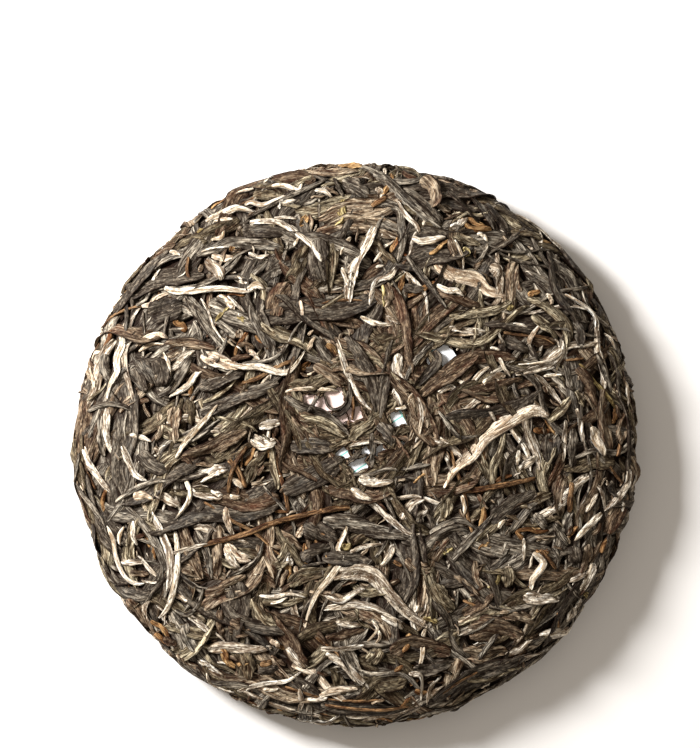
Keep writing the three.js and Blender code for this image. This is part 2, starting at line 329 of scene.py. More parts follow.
@dataclass(frozen=True)
class LeafKind:
    """The sizes and shape of one kind of leaf."""

    name: str
    finish: LeafFinish
    length: Span
    width: Span
    thickness: Span
    rings: int = 20
    sides: int = 20
    folds: Span = (0.22, 0.42)  # lengthwise folds to a millimetre of width
    fold_depth: float = 0.42
    rope: float = 0.0  # how rope-like it is twisted
    twist: Span = (-0.7, 0.7)
    roll: float = 0.35
    bend: float = 0.8
    wander: float = 0.25
    blunt: float = 0.42  # low for blunt ends, high for pointed ones
    bulge: float = 0.4  # where along it the leaf is widest
    ragged: float = 0.26  # how uneven its edges are
    pale_power: float = 1.0  # above 1, few of its leaves are pale


CHARCOAL = LeafFinish(
    "charcoal_leaf",
    linear(24, 14, 7),
    linear(72, 62, 51),
    linear(148, 133, 114),
    linear(238, 226, 204),
    line_share=0.75,
    blush=linear(58, 56, 54),
    blush_share=0.3,
    relief=0.65,
)
BROWN = LeafFinish(
    "brown_leaf",
    linear(32, 15, 6),
    linear(90, 69, 50),
    linear(168, 143, 114),
    linear(240, 222, 192),
    line_share=0.75,
    blush=linear(88, 50, 32),
    blush_share=0.3,
    relief=0.75,
)
OLIVE = LeafFinish(
    "olive_leaf",
    linear(28, 16, 6),
    linear(92, 78, 57),
    linear(158, 141, 112),
    linear(236, 222, 190),
)
TAN = LeafFinish(
    "tan_leaf",
    linear(70, 46, 24),
    linear(208, 189, 162),
    linear(250, 238, 216),
    linear(255, 252, 242),
    crease_share=0.75,
)
SILVER = LeafFinish(
    "pale_bud",
    linear(112, 86, 56),
    linear(238, 220, 190),
    linear(255, 246, 228),
    linear(255, 254, 246),
    crease_share=0.7,
    blush=linear(150, 118, 74),
    sheen=0.2,
    roughness=0.7,
)
ROSY = LeafFinish(
    "rosy_leaf",
    linear(100, 70, 44),
    linear(228, 205, 172),
    linear(252, 236, 210),
    linear(255, 248, 232),
    crease_share=0.65,
    blush=linear(176, 124, 88),
    sheen=0.12,
    roughness=0.65,
)
RUSSET = LeafFinish(
    "russet_stem",
    linear(38, 20, 9),
    linear(104, 74, 48),
    linear(162, 122, 82),
    linear(220, 182, 134),
    line_share=0.4,
    blush=linear(70, 30, 20),
    blush_share=0.25,
    roughness=0.5,
)
GOLD = LeafFinish(
    "yellow_leaf",
    linear(58, 42, 18),
    linear(150, 128, 80),
    linear(204, 184, 124),
    linear(236, 220, 166),
    blush=linear(128, 92, 40),
    blush_share=0.2,
)
OCHRE = LeafFinish(
    "ochre_leaf",
    linear(56, 28, 10),
    linear(138, 98, 58),
    linear(188, 150, 102),
    linear(228, 192, 138),
    blush=linear(112, 56, 32),
    blush_share=0.3,
)
GAP_SHADE_COLOUR = linear(24, 9, 2)  # painted shade: the near black that leaves are darkened to where they lie deep among their neighbours and at their edges and tips

UNDER = LeafKind("under_leaves", CHARCOAL, (26, 50), (5, 9), (0.9, 1.3), rings=10, sides=9)
DARK = LeafKind(
    "charcoal_leaves",
    CHARCOAL,
    (22, 50),
    (4.5, 10),
    (0.5, 0.8),
    folds=(0.12, 0.26),
    fold_depth=0.28,
    pale_power=2.2,
)
WOODY = LeafKind(
    "brown_leaves",
    BROWN,
    (18, 44),
    (4, 9),
    (0.5, 0.8),
    folds=(0.14, 0.32),
    fold_depth=0.36,
    pale_power=1.8,
)
GREEN = LeafKind("olive_leaves", OLIVE, (18, 42), (4, 8.5), (0.5, 0.8), folds=(0.16, 0.34), pale_power=1.5)
LIGHT = LeafKind("tan_leaves", TAN, (12, 36), (1.6, 4.4), (0.5, 0.8), rings=18, sides=16, pale_power=1.6)
BLADE = LeafKind("rosy_leaves", ROSY, (12, 30), (1.8, 4.6), (0.5, 0.8), rings=24, sides=22, folds=(0.1, 0.3))
GOLD_LEAF = LeafKind("yellow_leaves", GOLD, (8, 20), (1.5, 3.5), (0.35, 0.5), rings=16, sides=14, ragged=0.4)
BUD = LeafKind(
    "pale_buds",
    SILVER,
    (10, 26),
    (1.2, 2.6),
    (0.7, 1.2),
    rings=18,
    sides=14,
    fold_depth=0.26,
    blunt=0.52,
)
STEM = LeafKind(
    "stems",
    RUSSET,
    (12, 40),
    (0.9, 1.7),
    (0.7, 1.2),
    rings=14,
    sides=9,
    fold_depth=0.1,
    roll=0.1,
    bend=0.5,
    wander=0.12,
    blunt=0.2,
    ragged=0.12,
)
WIRY = LeafKind(
    "wiry_leaves",
    CHARCOAL,
    (20, 54),
    (1.2, 2.6),
    (0.8, 1.3),
    rings=18,
    sides=12,
    fold_depth=0.2,
    rope=0.22,
    twist=(-3.0, 3.0),
    bend=1.3,
    wander=0.4,
)
SCRAP = LeafKind("scrap_leaves", OLIVE, (10, 26), (2.4, 5), (0.5, 0.8), rings=14, sides=14, pale_power=1.8)
OCHRE_BIT = LeafKind("ochre_scraps", OCHRE, (5, 15), (1.2, 3.2), (0.5, 0.9), rings=12, sides=12)
CRUMB = LeafKind("dark_crumbs", BROWN, (3, 9), (0.7, 2.4), (0.4, 0.8), rings=6, sides=7, roll=0.8)
PALE_CRUMB = LeafKind(
    "tan_crumbs",
    TAN,
    (2.5, 8.5),
    (0.5, 1.4),
    (0.4, 0.7),
    rings=7,
    sides=7,
    roll=0.8,
    blunt=0.75,
    pale_power=1.8,
)
BACK_LEAF = LeafKind("back_leaves", CHARCOAL, (22, 50), (3.6, 8), (0.7, 1.1), rings=11, sides=9)
BACK_BROWN = LeafKind("back_brown_leaves", BROWN, (20, 46), (3.2, 7.5), (0.7, 1.1), rings=11, sides=9)
BACK_TAN = LeafKind("back_tan_leaves", TAN, (16, 38), (1.8, 4.4), (0.6, 1.0), rings=10, sides=9)
BACK_BUD = LeafKind("back_buds", SILVER, (12, 26), (1.4, 2.6), (0.7, 1.1), rings=10, sides=9)
BACK_SCRAP = LeafKind("back_scraps", BROWN, (5, 16), (1.4, 3.6), (0.5, 0.9), rings=7, sides=7, roll=0.6)


@dataclass(frozen=True)
class Landmark:
    """A leaf that stands out in the photo.

    Its path holds points of its middle line, in millimetres from the cake's middle.
    """

    kind: LeafKind
    width: float
    path: tuple[Span, ...]
    tint: float = 0.5


# In each region they lie from bottom to top.
TOP_LEFT = (
    Landmark(DARK, 6.0, ((-86, 46), (-81, 54), (-74, 63), (-67, 70)), 0.2),
    Landmark(DARK, 9.0, ((-75, 45), (-68, 47), (-62, 50)), 0.1),
    Landmark(WOODY, 8.0, ((-30, 45), (-28, 52), (-24, 57)), 0.2),
    Landmark(GREEN, 5.6, ((-17, 70), (-20, 66), (-22, 61), (-26, 57)), 0.2),
    Landmark(DARK, 7.0, ((-27, 66), (-29, 63), (-31, 59)), 0.2),
    Landmark(DARK, 6.0, ((-41, 75), (-35, 76), (-24, 75)), 0.1),
    Landmark(DARK, 4.4, ((-58, 67), (-51, 69), (-45, 71.5), (-38, 71), (-30, 70), (-24, 68)), 0.5),
    Landmark(GREEN, 4.2, ((-37, 88.5), (-33, 89), (-27, 88.5)), 0.4),
    Landmark(DARK, 6.2, ((-35, 52), (-36, 46), (-33, 39), (-30, 32)), 0.3),
    Landmark(DARK, 4.2, ((-61, 53), (-57, 47.5), (-53, 41), (-47, 33)), 0.6),
    Landmark(LIGHT, 1.0, ((-56, 52), (-53, 46.6), (-51, 41), (-46, 34)), 0.8),
    Landmark(LIGHT, 4.8, ((-54, 66), (-50, 62), (-48, 58)), 0.5),
    Landmark(BLADE, 2.8, ((-52, 67), (-48, 66), (-44, 66.4)), 0.4),
    Landmark(LIGHT, 1.0, ((-56, 68), (-51, 69.5), (-45, 70)), 0.7),
    Landmark(STEM, 1.3, ((-60, 67), (-60.6, 61.6), (-59, 57)), 0.4),
    Landmark(LIGHT, 2.6, ((-44, 59), (-41, 58), (-39, 57)), 0.9),
    Landmark(BUD, 1.8, ((-39, 68), (-35, 66.4), (-31, 67)), 0.5),
    Landmark(WIRY, 1.4, ((-78.5, 48.5), (-75, 51), (-73, 54.6), (-71.5, 58)), 0.9),
    Landmark(BLADE, 2.0, ((-76.6, 48.5), (-73, 49.4), (-71, 52), (-65, 54)), 0.6),
    Landmark(BUD, 1.6, ((-67, 69), (-62.5, 67)), 0.5),
    Landmark(GOLD_LEAF, 2.4, ((-57, 75), (-55, 76), (-52.6, 75.8)), 0.2),
    Landmark(BUD, 1.6, ((-52, 72.5), (-48.4, 73.4), (-47, 76)), 0.3),
    Landmark(BUD, 1.6, ((-51, 79.5), (-47, 79.8), (-43.7, 80)), 0.5),
    Landmark(BUD, 2.6, ((-54.5, 79.5), (-49, 81.4), (-44.6, 83.3), (-41, 83.8), (-36, 82.4)), 0.5),
    Landmark(BUD, 2.1, ((-30.5, 92), (-26, 92), (-21, 90.4), (-19, 93)), 0.6),
    Landmark(LIGHT, 3.0, ((-28.6, 84), (-26, 85.6), (-21, 87)), 0.9),
    Landmark(BUD, 2.1, ((-40, 85), (-37.6, 86), (-33, 85), (-27, 87.5), (-21.6, 89.4)), 0.6),
    Landmark(LIGHT, 1.4, ((-34, 79.5), (-26, 80.5), (-21, 80)), 0.8),
    Landmark(LIGHT, 2.4, ((-39, 79), (-33, 79), (-27, 78.6), (-21, 74.4), (-16, 70), (-14, 65)), 0.9),
    Landmark(WIRY, 1.8, ((-9, 95), (-21, 89), (-30.5, 84.7), (-40, 80)), 0.3),
    Landmark(BUD, 1.4, ((-22.5, 70), (-21.6, 71.5), (-20.6, 73)), 0.5),
    Landmark(BLADE, 2.8, ((-50, 53), (-46, 50), (-43.7, 47.5)), 0.9),
    Landmark(LIGHT, 1.5, ((-46.5, 52.7), (-42.8, 49), (-40, 46.6)), 0.6),
    Landmark(GOLD_LEAF, 3.6, ((-43.7, 44), (-41, 43), (-40, 41)), 0.4),
    Landmark(GOLD_LEAF, 1.5, ((-51, 43), (-48, 46.6), (-45.6, 48.5)), 1.0),
    Landmark(BLADE, 1.6, ((-21.6, 53), (-20, 48.5), (-19.7, 44)), 0.8),
    Landmark(BUD, 2.8, ((-69, 55.5), (-65, 54), (-59, 54), (-49, 55), (-40, 54), (-34, 56)), 0.6),
    Landmark(BUD, 2.6, ((-39.5, 54.6), (-36, 56), (-33, 54.6)), 0.7),
)
TOP_RIGHT = (
    Landmark(DARK, 9.0, ((-15, 73), (-14, 63.5), (-12, 57)), 0.15),
    Landmark(GREEN, 5.0, ((-9, 73), (-9, 62), (-10, 52)), 0.3),
    Landmark(DARK, 4.7, ((33, 91), (39, 85), (44.5, 78.6)), 0.1),
    Landmark(DARK, 4.2, ((39, 90), (45.4, 84), (50.6, 76)), 0.2),
    Landmark(DARK, 3.8, ((46, 86), (51.6, 79.5), (55, 73)), 0.1),
    Landmark(WOODY, 7.5, ((23, 94.6), (26.6, 91), (27, 87), (25, 84)), 0.5),
    Landmark(DARK, 6.0, ((-5, 94), (0, 91), (4.5, 87.5)), 0.4),
    Landmark(DARK, 5.0, ((16, 91), (23, 86), (28.5, 81), (30.4, 78)), 0.3),
    Landmark(DARK, 4.7, ((6, 97), (11.5, 93), (17, 87), (24, 81), (31, 76)), 0.5),
    Landmark(GREEN, 3.6, ((34, 74), (39, 72.5), (44.5, 70.6)), 0.6),
    Landmark(WOODY, 3.8, ((33, 73), (35, 67), (38, 61.6)), 0.6),
    Landmark(LIGHT, 4.5, ((47, 62.6), (50, 61.6), (49, 59)), 0.3),
    Landmark(WOODY, 4.0, ((27.5, 54), (33, 52), (40, 49.4), (44.5, 49.4)), 0.1),
    Landmark(DARK, 3.5, ((16, 55.5), (20, 54.6), (24, 54.6)), 0.1),
    Landmark(GREEN, 4.0, ((32, 44.7), (40, 46), (49, 47.5), (57, 52)), 0.6),
    Landmark(BLADE, 5.5, ((27, 66), (30.4, 61.6), (35, 59), (42, 58), (47, 54), (54, 52)), 0.35),
    Landmark(BUD, 2.4, ((27.5, 56.5), (32, 54), (35, 54), (38, 52)), 0.6),
    Landmark(WOODY, 4.0, ((9.7, 57), (11, 52), (9.7, 47.5)), 0.6),
    Landmark(GOLD_LEAF, 1.4, ((8.7, 57), (9.4, 52), (9.2, 47)), 0.8),
    Landmark(LIGHT, 4.8, ((7, 77.6), (3, 70), (-1, 62.6), (-2.6, 56), (-3, 49)), 0.75),
    Landmark(DARK, 3.3, ((4.5, 84), (9.7, 85), (15, 83), (16, 76.7), (16, 70), (14, 62.6)), 0.7),
    Landmark(LIGHT, 2.4, ((14, 62.6), (11.5, 59), (7, 57.4), (5, 52), (4, 47.5)), 0.7),
    Landmark(LIGHT, 3.4, ((7, 91), (8.7, 89.4), (8, 87)), 0.3),
    Landmark(STEM, 2.0, ((5, 84), (8, 85.6), (11, 87.5)), 0.7),
    Landmark(WOODY, 2.6, ((16, 47), (20, 50), (24, 52.7)), 0.3),
    Landmark(WIRY, 2.4, ((17, 67), (22.4, 60), (27, 54), (32, 47)), 0.3),
    Landmark(WIRY, 1.6, ((-8, 95), (-6, 91), (-4.5, 87.5)), 0.2),
    Landmark(GOLD_LEAF, 3.0, ((-4, 87), (-5.4, 83), (-5, 79.5), (-8, 77)), 0.6),
    Landmark(BUD, 2.0, ((-15, 90.4), (-11.5, 90), (-8, 87.5)), 0.6),
    Landmark(BUD, 1.8, ((-2, 73.4), (-4.5, 70), (-6, 66.4)), 0.4),
    Landmark(BUD, 2.0, ((-5.4, 62.6), (-4, 58), (-3, 54.6)), 0.6),
    Landmark(BUD, 2.4, ((-16.7, 72), (-14, 67), (-12.5, 64)), 0.8),
    Landmark(LIGHT, 2.0, ((14, 86.6), (17, 81.4), (21, 77.6), (22.4, 74.4)), 0.9),
    Landmark(LIGHT, 2.6, ((33, 76.7), (36.5, 78), (40, 80.5)), 0.8),
    Landmark(BUD, 3.0, ((19.5, 73.4), (23, 71.5), (28, 72.5), (32, 73.4)), 0.7),
    Landmark(BUD, 1.8, ((43, 75), (45.4, 74), (47, 72)), 0.5),
    Landmark(BUD, 1.2, ((34.6, 72.5), (37, 67), (38, 61.6)), 0.4),
    Landmark(GOLD_LEAF, 3.0, ((37.4, 69), (39.3, 68), (38.8, 66)), 0.9),
    Landmark(WIRY, 1.6, ((47, 71.5), (45, 67), (42, 64)), 0.7),
    Landmark(BUD, 2.2, ((0.7, 45), (4.5, 43), (8.7, 42), (13, 42)), 0.6),
    Landmark(LIGHT, 1.4, ((10, 45), (15, 42)), 0.8),
    Landmark(LIGHT, 2.6, ((32, 41), (39, 40), (46, 39.5)), 0.9),
    Landmark(GOLD_LEAF, 2.6, ((53, 48), (56, 48.5)), 0.7),
)
LEFT = (
    Landmark(DARK, 8.5, ((-72, 30), (-70.5, 24), (-71, 19.7)), 0.1),
    Landmark(DARK, 5.0, ((-78.5, 27), (-76, 20.7), (-74.7, 17)), 0.1),
    Landmark(DARK, 4.7, ((-78.5, 31), (-74.7, 26), (-71, 20.7)), 0.3),
    Landmark(WOODY, 4.7, ((-69, 34), (-61, 35), (-50, 33.4)), 0.4),
    Landmark(DARK, 5.0, ((-56, 19), (-49, 22), (-40, 25.4)), 0.2),
    Landmark(DARK, 6.6, ((-56, 11), (-49, 14), (-40, 17), (-27, 21.6)), 0.3),
    Landmark(WOODY, 6.0, ((-62, -5), (-54, -3), (-45.5, 1), (-38.5, 4.7)), 0.3),
    Landmark(DARK, 3.5, ((-59, 31.5), (-62, 25.4), (-66, 19), (-70.5, 16.4)), 0.4),
    Landmark(WOODY, 5.6, ((-64, 13), (-65, 6.6), (-64, -0.5)), 0.6),
    Landmark(DARK, 6.0, ((-76.6, -3), (-72, -7.6), (-66, -10)), 0.2),
    Landmark(WOODY, 2.6, ((-70, 11), (-69, 5.6), (-71, 0.4)), 0.8),
    Landmark(LIGHT, 3.5, ((-71.4, -1.5), (-70, -3), (-72, -4)), 0.3),
    Landmark(DARK, 4.5, ((-89, 32), (-89, 26), (-87, 21.6)), 0.3),
    Landmark(DARK, 3.3, ((-90, 10), (-90, 2), (-89, -5)), 0.5),
    Landmark(LIGHT, 2.8, ((-88, 13), (-88, 6.6), (-87, -0.5), (-83, -6.6)), 0.5),
    Landmark(LIGHT, 2.4, ((-79, 37.6), (-82, 33.4), (-82, 27), (-80, 19.7), (-78.5, 14)), 0.4),
    Landmark(BLADE, 2.6, ((-78.5, 34), (-74.7, 37), (-70.5, 38.6), (-67, 37)), 0.7),
    Landmark(BLADE, 1.6, ((-77.5, 32.4), (-73, 35), (-68, 35)), 0.8),
    Landmark(BUD, 1.3, ((-69, 32.4), (-66.7, 28), (-66, 23.5)), 0.9),
    Landmark(BLADE, 1.8, ((-95, 29), (-92.6, 32), (-90, 32.4)), 0.4),
    Landmark(BLADE, 2.0, ((-95, 28), (-93, 23), (-92, 19)), 0.6),
    Landmark(GREEN, 1.2, ((-95, 14.6), (-91, 18), (-88, 21.6)), 0.7),
    Landmark(WIRY, 2.0, ((-95, 11), (-89, 13.6), (-82, 13), (-78.5, 11)), 0.5),
    Landmark(LIGHT, 2.6, ((-96, -0.5), (-93.5, -7.6), (-90, -13), (-85.5, -18)), 0.6),
    Landmark(BLADE, 2.0, ((-96, -10), (-96, -14.6), (-96, -19)), 0.8),
    Landmark(LIGHT, 2.8, ((-82.7, -0.5), (-80, -6.6), (-77.5, -11), (-73, -13.7)), 0.7),
    Landmark(BUD, 1.9, ((-80, 3), (-76, 2), (-72, 0.4)), 0.5),
    Landmark(GREEN, 1.5, ((-55, 14), (-50, 16.4), (-45.5, 19.7), (-42.7, 23)), 0.8),
    Landmark(GREEN, 1.8, ((-50.7, 9.4), (-44.6, 8), (-38.5, 6.6), (-35, 3.7)), 0.8),
    Landmark(LIGHT, 5.0, ((-37.5, 2), (-33, -0.5), (-28.6, 1)), 1.0),
    Landmark(LIGHT, 3.6, ((-35, 5.6), (-30.5, 6.6), (-27, 7.5)), 0.7),
    Landmark(BLADE, 5.0, ((-56, 31), (-51, 29.6), (-45.5, 27.7), (-41, 27)), 0.9),
    Landmark(BUD, 2.5, ((-46, 28), (-41, 27), (-35, 27), (-27, 25), (-23, 27), (-18, 34)), 0.4),
    Landmark(BUD, 2.1, ((-64, -6), (-60.6, 0), (-56, 5.6), (-52, 10), (-49, 14)), 0.3),
    Landmark(BUD, 3.1, ((-83.6, 39.5), (-83, 35), (-84.6, 30), (-84.6, 25), (-87, 20), (-88, 14.6)), 0.8),
    Landmark(LIGHT, 4.5, ((-56, -13), (-50, -9.5), (-45, -9.5)), 0.8),
    Landmark(LIGHT, 5.0, ((-59.6, -14.6), (-55, -17), (-50, -18.4), (-47, -18)), 1.0),
    Landmark(BUD, 2.2, ((-44.6, -12), (-42, -14), (-40, -16)), 0.4),
    Landmark(BUD, 2.2, ((-45, -18.4), (-43, -19), (-41, -19)), 0.4),
    Landmark(STEM, 2.1, ((-45.5, -5.7), (-42, -9.5), (-39, -16)), 0.95),
    Landmark(STEM, 1.6, ((-38.5, -0.5), (-42.7, -6.6), (-44.6, -12), (-45.5, -18)), 0.6),
    Landmark(BLADE, 3.8, ((-78.5, -19), (-74.7, -18.4), (-71, -20)), 0.9),
    Landmark(LIGHT, 3.6, ((-71, -17), (-66, -20), (-62, -22)), 0.3),
    Landmark(WIRY, 2.1, ((-85, -21), (-81, -18), (-75, -14.6), (-69, -13), (-64, -14)), 0.8),
    Landmark(BUD, 2.1, ((-60.6, -12), (-58.7, -17), (-59.6, -21), (-64, -27)), 0.7),
)
RIGHT = (
    Landmark(WOODY, 5.2, ((29, 24), (38, 29), (48, 31), (57, 30)), 0.1),
    Landmark(WOODY, 3.8, ((29, 16), (41, 19), (50, 21), (59, 23)), 0.1),
    Landmark(DARK, 6.0, ((29, 8), (43, 10), (57, 13), (66, 19)), 0.1),
    Landmark(DARK, 4.5, ((51, 37), (56, 35), (62, 33)), 0.1),
    Landmark(WOODY, 5.0, ((77.5, 27), (82, 21), (85.5, 13)), 0.1),
    Landmark(DARK, 4.7, ((76, 44), (79, 39.5), (79, 33.4)), 0.2),
    Landmark(DARK, 2.8, ((85.5, 32.4), (88, 25.4), (91.6, 18)), 0.5),
    Landmark(DARK, 3.0, ((89.5, 34), (93, 25.4), (94, 16)), 0.3),
    Landmark(DARK, 7.5, ((69, 4), (68.5, -2), (67.6, -7)), 0.1),
    Landmark(DARK, 3.8, ((76.5, 6.5), (76, -0.5), (75.6, -8.5)), 0.4),
    Landmark(DARK, 2.6, ((74, 28), (75, 21.6), (77.5, 18)), 0.4),
    Landmark(GREEN, 4.7, ((62, 46), (67.6, 41.4), (72, 37.6)), 0.6),
    Landmark(GREEN, 4.5, ((60, 52), (67, 49), (73, 44), (75, 38), (74, 33)), 0.7),
    Landmark(GREEN, 3.8, ((20, 39), (29, 37), (38, 35), (44.5, 36), (51, 41), (58, 47.5), (62, 49)), 0.75),
    Landmark(LIGHT, 3.0, ((73, 36), (73, 32), (69, 28), (62, 26), (55, 24.4)), 0.95),
    Landmark(BUD, 1.2, ((73, 37), (72, 32.4), (66.7, 29), (56, 28)), 0.6),
    Landmark(BLADE, 1.2, ((29, 38), (36, 38.5), (43.6, 38.5)), 0.8),
    Landmark(STEM, 1.2, ((51, 39.5), (58, 38.5), (66, 37.6), (71, 35)), 0.95),
    Landmark(BLADE, 1.9, ((65, 42), (61.5, 38), (61, 34)), 0.8),
    Landmark(BUD, 1.7, ((54.4, 42), (58, 42), (61, 41)), 0.6),
    Landmark(BUD, 1.2, ((73.7, 53.6), (78.4, 51), (83, 48), (86, 44), (86.4, 40)), 0.9),
    Landmark(BUD, 1.2, ((77.5, 51.7), (84, 46.5), (85.5, 41.4)), 0.9),
    Landmark(BLADE, 1.8, ((67.6, 53.6), (69.5, 51), (69, 49.4)), 0.8),
    Landmark(BUD, 1.2, ((46.9, 34), (48.8, 33.6), (50.7, 33)), 0.5),
    Landmark(WIRY, 1.2, ((49.7, 39.5), (51.3, 36.6), (52.5, 34)), 0.7),
    Landmark(LIGHT, 1.5, ((50, 30.5), (51.6, 27), (54.4, 23.5)), 0.7),
    Landmark(BLADE, 3.6, ((44, 21), (49, 23.5), (52.5, 24.4)), 0.7),
    Landmark(BUD, 1.9, ((34.6, 22.5), (39.4, 21), (43.6, 25), (48, 28)), 0.5),
    Landmark(LIGHT, 2.4, ((31, 10), (38, 12), (42, 15), (47, 16.4)), 1.0),
    Landmark(LIGHT, 1.8, ((45.5, 13.6), (47, 10.5), (48.8, 7.5)), 0.5),
    Landmark(LIGHT, 2.2, ((62.4, 25), (68, 19.7), (73, 13.6)), 0.6),
    Landmark(BUD, 1.5, ((66, 24), (69, 24.3), (72.8, 24.6)), 0.7),
    Landmark(STEM, 1.0, ((73.7, 29.6), (77.5, 30), (81, 30.5)), 0.6),
    Landmark(GREEN, 2.8, ((77.5, 19), (79, 16), (80.5, 13)), 0.9),
    Landmark(GOLD_LEAF, 1.6, ((78.4, 29), (83, 23.5), (89, 17.4), (93.5, 11.7)), 0.2),
    Landmark(GREEN, 4.0, ((67, 8), (72, 12), (76, 17)), 0.8),
    Landmark(LIGHT, 2.1, ((74, 9), (73, 2), (73, -6.6)), 0.9),
    Landmark(LIGHT, 2.4, ((77.5, 13), (79, 6.5), (80, 0.4)), 0.6),
    Landmark(BUD, 4.2, ((83, 6.5), (85, 2), (88, -4.3)), 0.5),
    Landmark(LIGHT, 3.3, ((57, -9), (61, -6), (63.4, -4.3)), 0.9),
    Landmark(BUD, 1.6, ((56.8, -2), (56.5, -5), (56.3, -7.6)), 0.5),
    Landmark(LIGHT, 1.8, ((30.4, -3), (32.3, -7.6), (33.7, -12.3)), 0.9),
    Landmark(BUD, 1.4, ((96, 23), (97, 18), (97, 13.6)), 0.6),
    Landmark(BUD, 1.2, ((89, 40), (91.5, 37), (93, 33)), 0.6),
    Landmark(STEM, 1.8, ((94, 0.4), (93, -2), (92.5, -4.3)), 0.8),
    Landmark(STEM, 1.2, ((89, -7), (92, -10.6), (95, -14)), 0.5),
    Landmark(LIGHT, 3.0, ((97, -8), (96, -14), (93, -19), (88, -24)), 0.5),
    Landmark(STEM, 2.2, ((35.6, -17), (45.5, -15.6), (55, -13.7), (64, -11.8)), 0.35),
    Landmark(
        BLADE,
        5.2,
        ((68, 9.4), (64, 11.7), (59.6, 11), (52.5, 7), (44.5, 2), (40, -4), (34.6, -8.5), (30, -17)),
        0.9,
    ),
)
